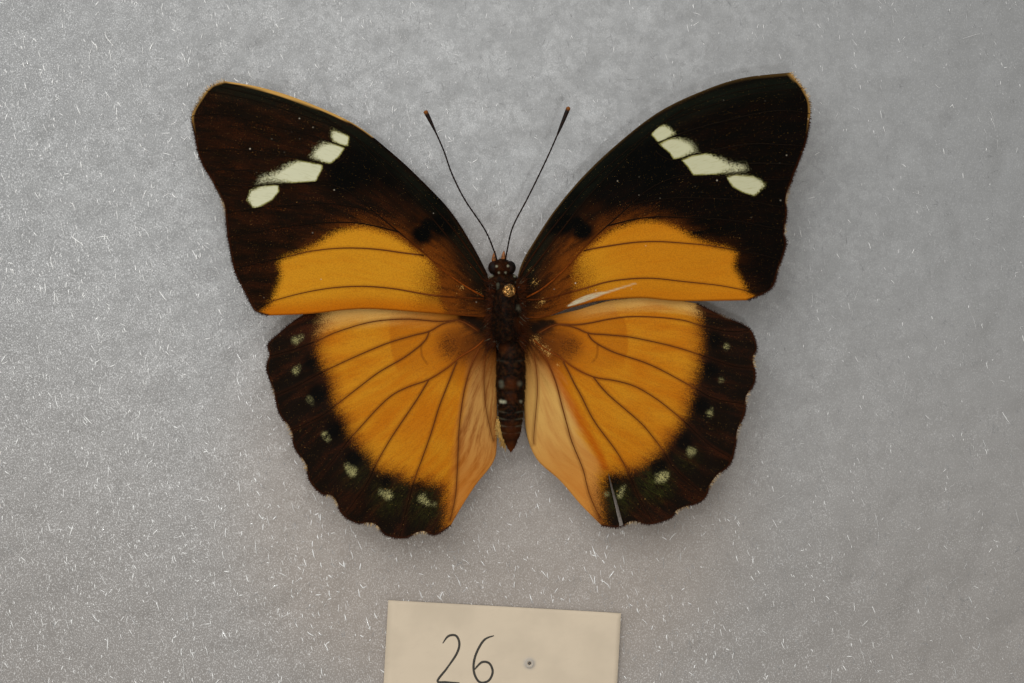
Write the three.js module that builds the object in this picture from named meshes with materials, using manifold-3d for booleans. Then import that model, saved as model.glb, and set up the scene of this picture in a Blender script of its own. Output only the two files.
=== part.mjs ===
// A spread butterfly specimen, pinned on a bed of wadding over a pinning board, with its number card beside it.
// Millimetres, +Z up. The origin is the middle of the board's underside, and the insect's head points to +Y.
// The insect is drawn in a frame of its own: the origin between the wing roots, at the height of the wings.

import * as THREE from "three";
import { mergeVertices } from "three/addons/utils/BufferGeometryUtils.js";
import Module from "manifold-3d";

const wasm = await Module();
wasm.setup();

// Driving dimensions of the bed.
const BED_LENGTH = 160;
const BED_WIDTH = 120;
const BOARD_HEIGHT = 6;
const BOARD_CORNER = 2;
const WADDING_HEIGHT = 10;
const WADDING_INSET = 0.5;
const WADDING_LUMP = 0.35;
const SHOULDER = 5;
const CLEARANCE = 0.3;

// Driving dimensions of the card, which lies turned a little clockwise in front of the insect.
const CARD_LENGTH = 30.8;
const CARD_WIDTH = 19;
const CARD_THICKNESS = 0.3;
const CARD_CENTRE = [-1.5, -39.5];
const CARD_TURN = THREE.MathUtils.degToRad(-3.2);
const CARD_HOLE = [3.7, 2.2];
const CARD_HOLE_RADIUS = 0.4;

// Driving dimensions of the pin.
const PIN_RADIUS = 0.28;
const PIN_HEAD_RADIUS = 0.82;
const PIN_HEAD_HEIGHT = 0.9;
const PIN_TIP_Z = 1.5;
const PIN_TOP_Z = 36.5;

// Where the insect stands on the bed, and where the pin enters its thorax.
const INSECT = new THREE.Vector3(-0.65, 9.1, 23);
const PIN_AT = [0.3, 2.2];

// The insect's body.
const BODY_SIDES = 16;
const WING_THICKNESS = 0.3;
const WING_CELLS_OUT = 11;
const WING_CELLS_ACROSS = 22;
const ANTENNA_RADIUS = 0.16;
const LEG_RADIUS = 0.22;

// The outlines of the four wings, seen from above: the front edge from the root to the tip, the outer edge from
// the tip to the rear corner, and the rear edge from the root to the rear corner.
const LEFT_FOREWING = {
  front: [[-2.5, 4.6], [-4, 8], [-6.9, 12.7], [-10.6, 16.4], [-14.9, 20.5], [-19.9, 24.2], [-26.5, 27.1],
    [-31.7, 28.6], [-36.3, 29.4]],
  outer: [[-36.3, 29.4], [-38.1, 29], [-39.5, 27.6], [-40.8, 25.1], [-40.5, 22.5], [-39.6, 19.2], [-37.8, 16.3],
    [-36.4, 13.3], [-36.1, 11], [-35.9, 8.7], [-35.2, 4.8], [-33.7, 1.8], [-32.4, 0], [-30.7, -0.5]],
  rear: [[-2.6, -0.3], [-5.4, -0.6], [-10.6, -0.4], [-18.5, 0.1], [-25.5, -0.3], [-30.7, -0.5]],
};
const RIGHT_FOREWING = {
  front: [[2, 4.1], [3.4, 8], [6.2, 12.8], [10.1, 17.2], [14.8, 21.5], [19.8, 25.3], [25, 28.1], [30.3, 29.8],
    [36.5, 30.5]],
  outer: [[36.5, 30.5], [37.6, 29.8], [38.5, 28.5], [39.2, 26.2], [38.9, 22.5], [37.9, 19.9], [36.8, 17],
    [36, 14.4], [36, 12.2], [35.7, 10], [35.9, 8.2], [35, 5.4], [33.9, 2.8], [31, 1.4]],
  rear: [[2.6, -0.1], [5.6, -0.1], [8.4, 0.5], [12.8, 1.6], [22.3, 1.2], [31, 1.4]],
};
const LEFT_HINDWING = {
  front: [[-2.6, -1.6], [-4.8, 0.1], [-11.3, 1.4], [-19, 1.4], [-23.6, 0.6], [-25.9, -0.7]],
  outer: [[-25.9, -0.7], [-29.3, -3], [-30.8, -5.2], [-31.1, -7.8], [-30.2, -10.9], [-29.3, -13.3], [-28, -15.4],
    [-27.3, -17.7], [-25.9, -19.9], [-25.3, -22.1], [-23.8, -23.6], [-22.4, -24.3], [-21.1, -26.2], [-19.4, -27.3],
    [-17.1, -27.8], [-15.5, -29], [-13.3, -29.4], [-11.1, -28.7], [-9.5, -28.9], [-7.5, -27.8]],
  rear: [[-2.5, -4.5], [-1.9, -8.2], [-1.6, -12.3], [-1.6, -16.3], [-2.3, -19.7], [-4.8, -22.8], [-6.7, -25.9],
    [-7.5, -27.8]],
};
const RIGHT_HINDWING = {
  front: [[2.6, -1.8], [6, -0.8], [8.4, 0.4], [13.3, 1.4], [19.2, 1.6], [24.6, 0.8]],
  outer: [[24.6, 0.8], [28.2, -0.6], [31.5, -2.2], [32.4, -4.8], [32, -6.3], [32.2, -9.2], [30.7, -11.3],
    [30.4, -13.1], [29.3, -15.8], [29.4, -17.6], [28.7, -19.4], [26.5, -21.2], [26, -22.9], [25, -24.3],
    [22, -25.5], [20.8, -26.9], [18.5, -27.7], [16.3, -27.4], [14.4, -28.1], [12.7, -27.6]],
  rear: [[2.6, -4.1], [2.5, -8.5], [2.5, -11.4], [2.5, -14.2], [3.1, -17], [4.8, -19.3], [7.9, -21.6],
    [10.5, -25], [12.7, -27.6]],
};

// How a kind of wing stands: height at the root, rise to the outer edge, arch along its length, and how far its
// rear edge hangs at the root's end.
const FOREWING_STANCE = { root: 0.5, rise: 1.4, arch: 0.9, droop: 0 };
const HINDWING_STANCE = { root: -0.5, rise: 0.9, arch: 0.5, droop: 1.6 };

// Points along the body are [distance ahead of the wing roots, radius].
const THORAX_PROFILE = [[-4.4, 0], [-4.3, 0.8], [-3.7, 1.45], [-2.4, 1.95], [-0.8, 2.15], [0.8, 2.1], [2.2, 1.8],
  [2.9, 1.35], [3.4, 1.3], [3.8, 0.8], [3.85, 0]];
const THORAX_HEIGHT_SHARE = 1.18;
const THORAX_AT = [-0.1, 0, -0.4];
const ABDOMEN_RINGS = 8;
const ABDOMEN_FRONT = -4.75;
const ABDOMEN_REAR = -18.6;
const ABDOMEN_RADIUS = 1.75;
const ABDOMEN_AT = [0.5, 0, -0.9];
const HEAD_AT = [-0.65, 5.4, -0.2];
const HEAD_RADII = [1.35, 1.2, 1.25];
const EYE_RADIUS = 0.85;
const EYE_OUT = 1.15;
const PALP_LENGTH = 1.7;
const PALP_RADIUS = 0.34;
const COIL_RADIUS = 0.75;
const COIL_WIRE = 0.16;

// Routes of the antennae, [x, y, height], from the head to the tip.
const LEFT_ANTENNA = [[-1.3, 6.9, 1.35], [-2.7, 10.2, 2], [-5.3, 14.1, 2.4], [-6.9, 17.4, 2.6], [-8, 20.5, 2.7],
  [-9.3, 23.4, 2.8], [-10.5, 25.6, 2.8]];
const RIGHT_ANTENNA = [[-0.1, 7, 1.35], [0.7, 10.6, 2], [2.6, 14.4, 2.4], [4.8, 19, 2.6], [6.4, 22.6, 2.7],
  [8, 26.2, 2.8]];
const CLUB_LENGTH = 4.2;
const CLUB_RADIUS = 0.3;

// A right leg's joints, folded up under the thorax; the left one is its mirror image.
const MIDDLE_LEG = [[1, 1.4, -3.2], [2.7, 2.2, -4.1], [2.1, -1.1, -4.9], [1.9, -3.9, -5.3]];
const HIND_LEG = [[0.9, -1.3, -3.2], [2.6, -2.6, -4.1], [1.3, -5.6, -5], [1, -8.6, -5.5]];

const COLOURS = {
  board: 0xe9e7e2,
  wadding: 0xa8a8a6,
  card: 0xd9c9ae,
  brass: 0xb5853f,
  blackBody: 0x1f1612,
  forewing: 0x2a160a,
  hindwing: 0xb5711a,
};

// A closed geometry as a solid that can be joined and cut.
function solidOf(geometry) {
  const bare = geometry.clone();
  bare.deleteAttribute("normal");
  bare.deleteAttribute("uv");
  const merged = mergeVertices(bare, 1e-4);
  return new wasm.Manifold(new wasm.Mesh({
    numProp: 3,
    vertProperties: new Float32Array(merged.attributes.position.array),
    triVerts: new Uint32Array(merged.index.array),
  }));
}

function geometryOf(solid) {
  const made = solid.getMesh();
  const geometry = new THREE.BufferGeometry();
  geometry.setAttribute("position", new THREE.BufferAttribute(made.vertProperties, 3));
  geometry.setIndex(new THREE.BufferAttribute(made.triVerts, 1));
  geometry.computeVertexNormals();
  return geometry;
}

function mesh(name, geometry, colour, roughness = 0.8, metalness = 0) {
  const made = new THREE.Mesh(geometry, new THREE.MeshStandardMaterial({ color: colour, roughness, metalness }));
  made.name = name;
  return made;
}

// A tube of round section along a smooth route.
function tube(route, radius, steps, sides = 8) {
  const section = new THREE.Shape();
  for (let i = 0; i < sides; i += 1) {
    const angle = (2 * Math.PI * i) / sides;
    const at = [radius * Math.cos(angle), radius * Math.sin(angle)];
    if (i === 0) section.moveTo(...at);
    else section.lineTo(...at);
  }
  section.closePath();
  return new THREE.ExtrudeGeometry(section, { extrudePath: route, steps, bevelEnabled: false, curveSegments: 1 });
}

// A solid of revolution about Y from [distance along Y, radius] points.
function turned(profile, sides = BODY_SIDES) {
  return new THREE.LatheGeometry(profile.map(([along, radius]) => new THREE.Vector2(radius, along)), sides);
}

// An upright hole along the pin, wider than the pin by the clearance all round.
function pinHole(x, y, fromZ, toZ) {
  const hole = new THREE.CylinderGeometry(PIN_RADIUS + CLEARANCE, PIN_RADIUS + CLEARANCE, toZ - fromZ, 10);
  hole.rotateX(Math.PI / 2);
  hole.translate(x, y, (fromZ + toZ) / 2);
  return solidOf(hole);
}

function line(points) {
  return new THREE.SplineCurve(points.map(([x, y]) => new THREE.Vector2(x, y)));
}

// The wing's plan as a patch between its four edges: out runs from the root (0) to the outer edge (1), and across
// from the front edge (0) to the rear edge (1).
function wingPlan(outline) {
  const front = line(outline.front);
  const outer = line(outline.outer);
  const rear = line(outline.rear);
  const corner = [front.getPointAt(0), front.getPointAt(1), rear.getPointAt(0), rear.getPointAt(1)];
  return (out, across) => {
    const root = corner[0].clone().lerp(corner[2], across);
    const point = front.getPointAt(out).multiplyScalar(1 - across)
      .addScaledVector(rear.getPointAt(out), across)
      .addScaledVector(root, 1 - out)
      .addScaledVector(outer.getPointAt(across), out);
    const shares = [(1 - out) * (1 - across), out * (1 - across), (1 - out) * across, out * across];
    corner.forEach((c, i) => point.addScaledVector(c, -shares[i]));
    return point;
  };
}

function wingHeight(stance, out, across) {
  const arch = stance.arch * Math.sin(Math.PI * out) * Math.sin(Math.PI * across);
  const droop = stance.droop * across ** 4 * Math.sin(Math.PI * (0.15 + 0.6 * out));
  return stance.root + stance.rise * out + arch - droop;
}

// A thin closed wing: a box of many cells whose corners are carried onto the wing's plan.
function wing(outline, stance) {
  const plan = wingPlan(outline);
  const upward = Math.sign(-outline.front.at(-1)[0]);
  const geometry = new THREE.BoxGeometry(1, 1, 1, WING_CELLS_OUT, WING_CELLS_ACROSS, 1);
  const position = geometry.attributes.position;
  for (let i = 0; i < position.count; i += 1) {
    const out = position.getX(i) + 0.5;
    const across = position.getY(i) + 0.5;
    const point = plan(out, across);
    const height = wingHeight(stance, out, across) + upward * position.getZ(i) * WING_THICKNESS;
    position.setXYZ(i, point.x, point.y, height);
  }
  return geometry;
}

// The layer of wadding: a soft-edged slab with a gently lumpy top, left flat where the card lies.
function waddingGeometry() {
  const geometry = new THREE.BoxGeometry(1, 1, 1, 22, 16, 2);
  const position = geometry.attributes.position;
  const halfLength = BED_LENGTH / 2 - WADDING_INSET;
  const halfWidth = BED_WIDTH / 2 - WADDING_INSET;
  const floor = BOARD_HEIGHT + CLEARANCE;
  for (let i = 0; i < position.count; i += 1) {
    const level = position.getZ(i) + 0.5;
    const waist = 1 - 0.012 * Math.abs(2 * level - 1);
    const x = 2 * position.getX(i) * halfLength * waist;
    const y = 2 * position.getY(i) * halfWidth * waist;
    const edge = Math.min(halfLength - Math.abs(x), halfWidth - Math.abs(y), SHOULDER) / SHOULDER;
    const underCard = Math.exp(-(((x - CARD_CENTRE[0]) / 24) ** 4) - ((y - CARD_CENTRE[1]) / 17) ** 4);
    const lump = WADDING_LUMP * Math.sin(0.11 * x + 0.6) * Math.cos(0.13 * y - 0.4) * (1 - underCard);
    const top = WADDING_HEIGHT - 1.8 * (1 - edge) ** 2 + lump;
    position.setXYZ(i, x, y, floor + level * top);
  }
  return geometry;
}

function boardGeometry() {
  const outline = new THREE.Shape();
  const [x, y, r] = [BED_LENGTH / 2, BED_WIDTH / 2, BOARD_CORNER];
  outline.moveTo(-x + r, -y);
  outline.lineTo(x - r, -y);
  outline.absarc(x - r, -y + r, r, -Math.PI / 2, 0);
  outline.lineTo(x, y - r);
  outline.absarc(x - r, y - r, r, 0, Math.PI / 2);
  outline.lineTo(-x + r, y);
  outline.absarc(-x + r, y - r, r, Math.PI / 2, Math.PI);
  outline.lineTo(-x, -y + r);
  outline.absarc(-x + r, -y + r, r, Math.PI, 1.5 * Math.PI);
  return new THREE.ExtrudeGeometry(outline, { depth: BOARD_HEIGHT, bevelEnabled: false, curveSegments: 4 });
}

// The number card, pierced where a pin once held it.
function cardGeometry() {
  const outline = new THREE.Shape();
  const [x, y] = [CARD_LENGTH / 2, CARD_WIDTH / 2];
  outline.moveTo(-x, -y);
  outline.lineTo(x, -y);
  outline.lineTo(x, y);
  outline.lineTo(-x, y);
  outline.closePath();
  const hole = new THREE.Path();
  hole.absarc(...CARD_HOLE, CARD_HOLE_RADIUS, 0, 2 * Math.PI, true);
  outline.holes.push(hole);
  return new THREE.ExtrudeGeometry(outline, { depth: CARD_THICKNESS, bevelEnabled: false, curveSegments: 5 });
}

// A straight wire pin, pointed below, with an upset button head.
function pinGeometry() {
  const neck = PIN_TOP_Z - PIN_HEAD_HEIGHT;
  const profile = [[PIN_TIP_Z, 0], [PIN_TIP_Z + 2, PIN_RADIUS], [neck, PIN_RADIUS],
    [neck + 0.1, 0.8 * PIN_HEAD_RADIUS], [neck + 0.4, PIN_HEAD_RADIUS], [PIN_TOP_Z - 0.15, 0.75 * PIN_HEAD_RADIUS],
    [PIN_TOP_Z, 0.3 * PIN_HEAD_RADIUS], [PIN_TOP_Z, 0]];
  return turned(profile, 12).rotateX(Math.PI / 2).translate(INSECT.x + PIN_AT[0], INSECT.y + PIN_AT[1], 0);
}

function thoraxGeometry() {
  const body = turned(THORAX_PROFILE).scale(1, 1, THORAX_HEIGHT_SHARE).translate(...THORAX_AT);
  return geometryOf(solidOf(body).subtract(pinHole(...PIN_AT, -6, 6)));
}

// The abdomen: rings that swell a little and taper to the tail.
function abdomenGeometry() {
  const profile = [[ABDOMEN_REAR, 0]];
  const length = ABDOMEN_FRONT - ABDOMEN_REAR;
  for (let ring = 0; ring < ABDOMEN_RINGS; ring += 1) {
    for (const [within, swell] of [[0.12, 0.92], [0.55, 1], [0.9, 0.97]]) {
      const share = (ring + within) / ABDOMEN_RINGS;
      const taper = Math.sin(Math.PI * (0.05 + 0.62 * share)) ** 0.75;
      profile.push([ABDOMEN_REAR + share * length, ABDOMEN_RADIUS * taper * swell]);
    }
  }
  profile.push([ABDOMEN_FRONT, 0]);
  return turned(profile, 14).translate(...ABDOMEN_AT);
}

// The head with what grows from it: the two eyes and the two palps.
function headGeometry() {
  let head = solidOf(new THREE.SphereGeometry(1, 14, 10).scale(...HEAD_RADII));
  for (const side of [-1, 1]) {
    const eye = new THREE.SphereGeometry(EYE_RADIUS, 12, 8).translate(side * EYE_OUT, 0, 0.05);
    const palp = turned([[0, 0], [0.1, PALP_RADIUS], [1, 0.9 * PALP_RADIUS], [PALP_LENGTH, 0]], 8);
    palp.rotateX(0.25).translate(side * 0.5, 0.35, -0.35);
    head = head.add(solidOf(eye)).add(solidOf(palp));
  }
  return geometryOf(head.translate(HEAD_AT));
}

// The coiled tongue under the head.
function tongueGeometry() {
  const wire = [0, 1, 2, 3, 4, 5].map((i) => {
    const angle = (Math.PI * i) / 3;
    return [COIL_WIRE * Math.sin(angle), COIL_RADIUS + COIL_WIRE * Math.cos(angle)];
  });
  const ring = turned([...wire, wire[0]], 14).rotateZ(Math.PI / 2);
  return ring.translate(HEAD_AT[0], HEAD_AT[1] + 0.3, HEAD_AT[2] - HEAD_RADII[2] - COIL_RADIUS - COIL_WIRE - 0.2);
}

function antennaGeometry(points) {
  const route = new THREE.CatmullRomCurve3(points.map((p) => new THREE.Vector3(...p)));
  const shaft = solidOf(tube(route, ANTENNA_RADIUS, 14, 6));
  const club = turned([[0, 0], [0.2, 0.7 * CLUB_RADIUS], [1.2, CLUB_RADIUS], [CLUB_LENGTH, 0.5 * ANTENNA_RADIUS],
    [CLUB_LENGTH + 0.1, 0]], 8);
  const tip = route.getPoint(1);
  const towardHead = route.getTangent(1).negate();
  club.applyQuaternion(new THREE.Quaternion().setFromUnitVectors(new THREE.Vector3(0, 1, 0), towardHead));
  club.translate(tip.x, tip.y, tip.z);
  return geometryOf(shaft.add(solidOf(club)));
}

function legGeometry(joints, side) {
  const points = joints.map(([x, y, z]) => new THREE.Vector3(side * x, y, z));
  return tube(new THREE.CatmullRomCurve3(points), LEG_RADIUS, 10, 6);
}

const specimen = new THREE.Group();

const board = solidOf(boardGeometry())
  .subtract(pinHole(INSECT.x + PIN_AT[0], INSECT.y + PIN_AT[1], PIN_TIP_Z - CLEARANCE, BOARD_HEIGHT + 1));
specimen.add(mesh("pinning_board", geometryOf(board), COLOURS.board, 0.9));

const wadding = solidOf(waddingGeometry())
  .subtract(pinHole(INSECT.x + PIN_AT[0], INSECT.y + PIN_AT[1], 0, 30));
specimen.add(mesh("wadding_layer", geometryOf(wadding), COLOURS.wadding, 0.7));

const card = mesh("number_card", cardGeometry(), COLOURS.card, 0.85);
card.position.set(...CARD_CENTRE, BOARD_HEIGHT + WADDING_HEIGHT + 2 * CLEARANCE);
card.rotation.z = CARD_TURN;
specimen.add(card);

specimen.add(mesh("insect_pin", pinGeometry(), COLOURS.brass, 0.3, 1));

const insect = new THREE.Group();
insect.position.copy(INSECT);
insect.add(mesh("head", headGeometry(), COLOURS.blackBody));
insect.add(mesh("thorax", thoraxGeometry(), COLOURS.blackBody));
insect.add(mesh("abdomen", abdomenGeometry(), COLOURS.blackBody));
insect.add(mesh("tongue", tongueGeometry(), COLOURS.blackBody));
insect.add(mesh("left_forewing", wing(LEFT_FOREWING, FOREWING_STANCE), COLOURS.forewing));
insect.add(mesh("right_forewing", wing(RIGHT_FOREWING, FOREWING_STANCE), COLOURS.forewing));
insect.add(mesh("left_hindwing", wing(LEFT_HINDWING, HINDWING_STANCE), COLOURS.hindwing));
insect.add(mesh("right_hindwing", wing(RIGHT_HINDWING, HINDWING_STANCE), COLOURS.hindwing));
insect.add(mesh("left_antenna", antennaGeometry(LEFT_ANTENNA), COLOURS.blackBody));
insect.add(mesh("right_antenna", antennaGeometry(RIGHT_ANTENNA), COLOURS.blackBody));
for (const [name, side] of [["left", -1], ["right", 1]]) {
  insect.add(mesh(`${name}_middle_leg`, legGeometry(MIDDLE_LEG, side), COLOURS.blackBody));
  insect.add(mesh(`${name}_hind_leg`, legGeometry(HIND_LEG, side), COLOURS.blackBody));
}
specimen.add(insect);

export default specimen;
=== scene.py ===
"""A spread butterfly, pinned on a bed of wadding beside its number card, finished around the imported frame.

The tables below are in millimetres. Those of the insect count from between its wing roots, at the height
of the wings. Every mesh is in metres, in the frame's own axes: +Z up, the insect's head to +Y.
"""

import math

import bmesh
import bpy
import numpy as np
from bpy.props import FloatProperty, FloatVectorProperty, IntProperty, PointerProperty
from mathutils import Matrix, Vector, noise


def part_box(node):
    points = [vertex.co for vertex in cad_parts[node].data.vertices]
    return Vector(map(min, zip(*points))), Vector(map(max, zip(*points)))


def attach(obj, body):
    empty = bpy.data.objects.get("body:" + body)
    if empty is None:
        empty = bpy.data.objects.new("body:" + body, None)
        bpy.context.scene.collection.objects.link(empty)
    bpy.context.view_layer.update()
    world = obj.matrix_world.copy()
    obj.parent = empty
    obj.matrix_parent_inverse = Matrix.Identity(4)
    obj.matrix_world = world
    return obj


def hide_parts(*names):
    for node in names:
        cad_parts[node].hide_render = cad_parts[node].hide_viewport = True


bl_info = {
    "name": "Pinned Butterfly Specimen",
    "version": (1, 0, 0),
    "blender": (4, 5, 0),
    "location": "View3D > Sidebar > Specimen",
    "description": "Builds a spread butterfly on its bed of wadding, with its pin and number card",
    "category": "Object",
}

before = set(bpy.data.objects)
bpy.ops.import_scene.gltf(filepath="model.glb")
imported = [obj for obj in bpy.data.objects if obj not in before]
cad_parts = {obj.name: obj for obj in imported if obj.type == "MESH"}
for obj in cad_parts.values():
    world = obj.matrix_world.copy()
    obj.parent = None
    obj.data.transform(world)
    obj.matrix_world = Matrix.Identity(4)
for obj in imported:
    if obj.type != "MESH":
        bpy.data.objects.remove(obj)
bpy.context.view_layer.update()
MM = 0.001

# Where the insect's own frame lies: the pin stands a little right of and ahead of the wing roots.
PIN_AT = (0.3, 2.2)
PIN_TOP_OVER_WINGS = 13.5
# The radius of its wire.
PIN_WIRE = 0.28
PIN_LOW, PIN_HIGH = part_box("insect_pin")
INSECT = np.array([
    (PIN_LOW.x + PIN_HIGH.x) / 2 / MM - PIN_AT[0],
    (PIN_LOW.y + PIN_HIGH.y) / 2 / MM - PIN_AT[1],
    PIN_HIGH.z / MM - PIN_TOP_OVER_WINGS,
])

# The wings' outlines: the front edge from the root to the tip, the outer edge from the tip to the rear
# corner, and the rear edge from the root to the rear corner.
LEFT_FOREWING = {
    "front": [
        (-2.5, 4.6), (-4.2, 7.9), (-7.1, 12.5), (-10.6, 16.3), (-14.9, 20.3), (-19.8, 24), (-26.4, 26.95),
        (-31.7, 28.6), (-36.3, 29.4),
    ],
    "outer": [
        (-36.3, 29.4), (-37.9, 28.8), (-39.2, 27.4), (-40.5, 25), (-40.2, 22.5), (-39.4, 19.2),
        (-37.8, 16.3), (-36.4, 13.3), (-36.1, 11), (-35.8, 8.7), (-35, 4.9), (-33.6, 2), (-32.4, -0.1),
        (-30.7, -0.75),
    ],
    "rear": [(-2, -1), (-5.4, -0.8), (-10.6, -0.4), (-18.5, 0.1), (-25.5, -0.55), (-30.7, -0.75)],
}
RIGHT_FOREWING = {
    "front": [
        (1.4, 4.4), (1.9, 6), (3.1, 8.2), (6.2, 12.9), (10, 17.4), (14.6, 21.7), (19.6, 25.5), (25, 28.1),
        (30.3, 29.8), (36.5, 30.5),
    ],
    "outer": [
        (36.5, 30.5), (37.3, 29.5), (38.3, 28.1), (39, 26.2), (38.7, 22.5), (37.9, 19.9), (36.8, 17),
        (36, 14.4), (36, 12.2), (35.7, 10), (35.9, 8.2), (35, 5.4), (34, 2.7), (31, 1.2),
    ],
    "rear": [
        (2, -1), (4.2, -1.1), (5.8, -0.7), (7.8, 0.1), (10, 0.7), (12.4, 1.2), (17.2, 1.5), (22.3, 1.1),
        (31, 1.2),
    ],
}
LEFT_HINDWING = {
    "front": [(-2, -0.9), (-4.8, 0.1), (-11.3, 1.4), (-19, 1.4), (-23.6, 0.6), (-25.9, -0.7)],
    "outer": [
        (-25.9, -0.6), (-28, -1.8), (-29.4, -3), (-30.9, -4.4), (-30.7, -5.9), (-31.1, -7.6),
        (-30.1, -10.8), (-29.5, -13.3), (-28, -15.5), (-27.5, -17.8), (-26.1, -20), (-25.5, -22.2),
        (-24, -23.8), (-22.5, -24.3), (-21.3, -26.5), (-19.5, -27.6), (-17.2, -27.8), (-15.7, -29.2),
        (-13.3, -29.6), (-11.1, -28.8), (-9.3, -29.2), (-7.3, -28),
    ],
    "rear": [
        (-1.4, -4.6), (-1.3, -8.2), (-1.3, -12.3), (-1.3, -16.4), (-1.7, -19.6), (-4.1, -22.8),
        (-6.1, -25.9), (-7.3, -28),
    ],
}
RIGHT_HINDWING = {
    "front": [(2, -1.2), (4, -1), (5.9, -0.7), (9.1, 0), (11.4, 0.7), (14, 1.3), (19.2, 1.6), (24.6, 0.8)],
    "outer": [
        (24.6, 0.8), (28.1, -0.9), (31.3, -2.4), (32.3, -4.8), (31.9, -6.3), (32.1, -9.2), (31, -11.3),
        (30.8, -13.3), (29.9, -15.6), (29.6, -17.6), (28.9, -19.9), (27.2, -21.5), (26.3, -22.8),
        (25.3, -24.7), (22.3, -25.9), (21.2, -27), (18.5, -27.8), (16.3, -27.5), (14.4, -28.2), (12.3, -28),
    ],
    "rear": [
        (2, -4.1), (2.1, -8.5), (2.2, -11.4), (2.3, -14.2), (2.8, -17.1), (4.1, -19.7), (6.9, -22.2),
        (9.6, -25.3), (12.3, -28),
    ],
}

# How each kind of wing stands: height at the root, rise to the outer edge, arch, and the rear edge's droop.
FOREWING_STANCE = {"root": 0.5, "rise": 1.4, "arch": 0.9, "droop": 0}
HINDWING_STANCE = {"root": -0.5, "rise": 0.9, "arch": 0.5, "droop": 1.6}

# The left wings' veins and markings. The right wings carry the same ones at the same place in their own plan.
FOREWING_VEINS = {
    "anal": [
        (-3, 1.4), (-6.1, 1.6), (-8, 1.7), (-10.6, 2), (-14.6, 2.7), (-18.5, 3), (-22.5, 2.8), (-26.5, 2.1),
        (-30.4, 1), (-32.2, 0),
    ],
    "second_cubital": [
        (-10.7, 7), (-13.3, 7.3), (-17.2, 7.8), (-21.2, 7.9), (-25.2, 7.5), (-29.1, 6.6), (-33.3, 5.7),
        (-35.4, 4.9),
    ],
    "cubital": [
        (-3, 1.7), (-5.3, 3), (-8, 4.9), (-10.9, 7.5), (-14.2, 10.2), (-17.1, 12.6), (-19.2, 14.4),
        (-21.5, 15.7), (-24.1, 16.4), (-26.8, 16.2), (-30, 16.1), (-33.3, 15.9), (-37.6, 16.1),
    ],
    "first_cubital": [(-13.9, 10), (-19, 11.1), (-24.2, 11.1), (-29.4, 10.5), (-36, 9.3)],
    "third_median": [(-17.2, 12.7), (-22.3, 13.6), (-26.8, 13.5), (-31.7, 13.1), (-36.3, 12.4)],
    "second_median": [(-32.4, 17.8), (-33.9, 17.9), (-36.4, 18), (-38.9, 17.9)],
    "first_median": [
        (-20.7, 19.7), (-22.7, 18.6), (-25.5, 19.2), (-28.7, 19.8), (-33.3, 20.5), (-39.9, 20.5),
    ],
    "fifth_radial": [
        (-20.1, 20.7), (-22.7, 21.6), (-25.5, 22.5), (-30.7, 23.8), (-36.5, 25.1), (-40.8, 24.9),
    ],
    "fourth_radial": [(-21.2, 23.3), (-24.2, 24.3), (-28.7, 25.8), (-33.3, 27.1), (-38.9, 28.2)],
    "radial": [
        (-2.7, 3.5), (-6.1, 7.5), (-10, 12.2), (-13.9, 16.4), (-17.2, 19.7), (-19.2, 21.7), (-21, 23.2),
        (-23.2, 24.5), (-26.8, 26), (-32, 27.5), (-36.9, 28.7),
    ],
    "subcosta": [(-2.8, 4.4), (-6.3, 9.6), (-10.6, 14.5), (-15.2, 18.8), (-19.7, 22.3), (-23.6, 24.9)],
}
HINDWING_VEINS = {
    "subcosta": [
        (-3.8, -2.7), (-6.1, -1.4), (-8.8, -1.5), (-13.2, -1.2), (-17.7, -1.6), (-22.1, -2.9),
        (-24.3, -3.9), (-27.5, -5.1), (-30.8, -6),
    ],
    "radial": [
        (-6.7, -1.4), (-8.3, -1.8), (-10.1, -2.8), (-12.1, -3.3), (-15.4, -4.3), (-18.8, -5.7),
        (-22.1, -7.2), (-24.3, -8.3), (-27.7, -10.1), (-30, -11.1),
    ],
    "median": [
        (-10.1, -2.8), (-10.7, -4.1), (-13.2, -6.1), (-16.6, -8.1), (-19.9, -10.6), (-22.5, -12.6),
        (-24.3, -13.9), (-27.8, -15.5),
    ],
    "cubital": [
        (-3, -3.9), (-4.1, -4.9), (-6.1, -6.1), (-7.6, -7.4), (-10.1, -9), (-12.6, -9.9), (-14.8, -11),
        (-16.8, -12.8), (-18.8, -15), (-20.6, -17), (-22.8, -19.9), (-25, -22.3),
    ],
    "first_cubital": [
        (-10.1, -9), (-11.4, -11.2), (-13.2, -13.9), (-15, -16.6), (-16.8, -19.7), (-18.1, -22.4),
        (-20.8, -26.3),
    ],
    "second_cubital": [
        (-6.5, -6.7), (-7.6, -9.5), (-8.8, -12.6), (-9.8, -15.9), (-11, -19.3), (-12.1, -22.4),
        (-13.9, -29.3),
    ],
    "second_anal": [
        (-3.6, -5), (-4.7, -7.4), (-5.6, -10.8), (-6.2, -15.3), (-6.4, -19.7), (-6.7, -24.2), (-7.4, -27.3),
    ],
    "third_anal": [(-2.8, -6), (-3, -9.1), (-2.7, -13), (-1.8, -17)],
}
FAINT_VEIN = [(-11.1, -4.5), (-11, -5.9), (-10.3, -7)]
FOREWING_ORANGE = [
    (-31.7, -0.4), (-30.4, 0.9), (-29.7, 2.5), (-29.1, 4.4), (-29.3, 6), (-28.4, 6.8), (-26.5, 7.4),
    (-24.3, 8.5), (-22.8, 9.5), (-21.2, 10.2), (-19, 10.6), (-17, 10.3), (-14.9, 9.6), (-13.3, 8.6),
    (-11.7, 7.4), (-10, 6.2), (-8.9, 3.9), (-8.7, 1.3), (-8.7, -1.4), (-20.3, -1.4), (-31.7, -1.6),
]
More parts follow.
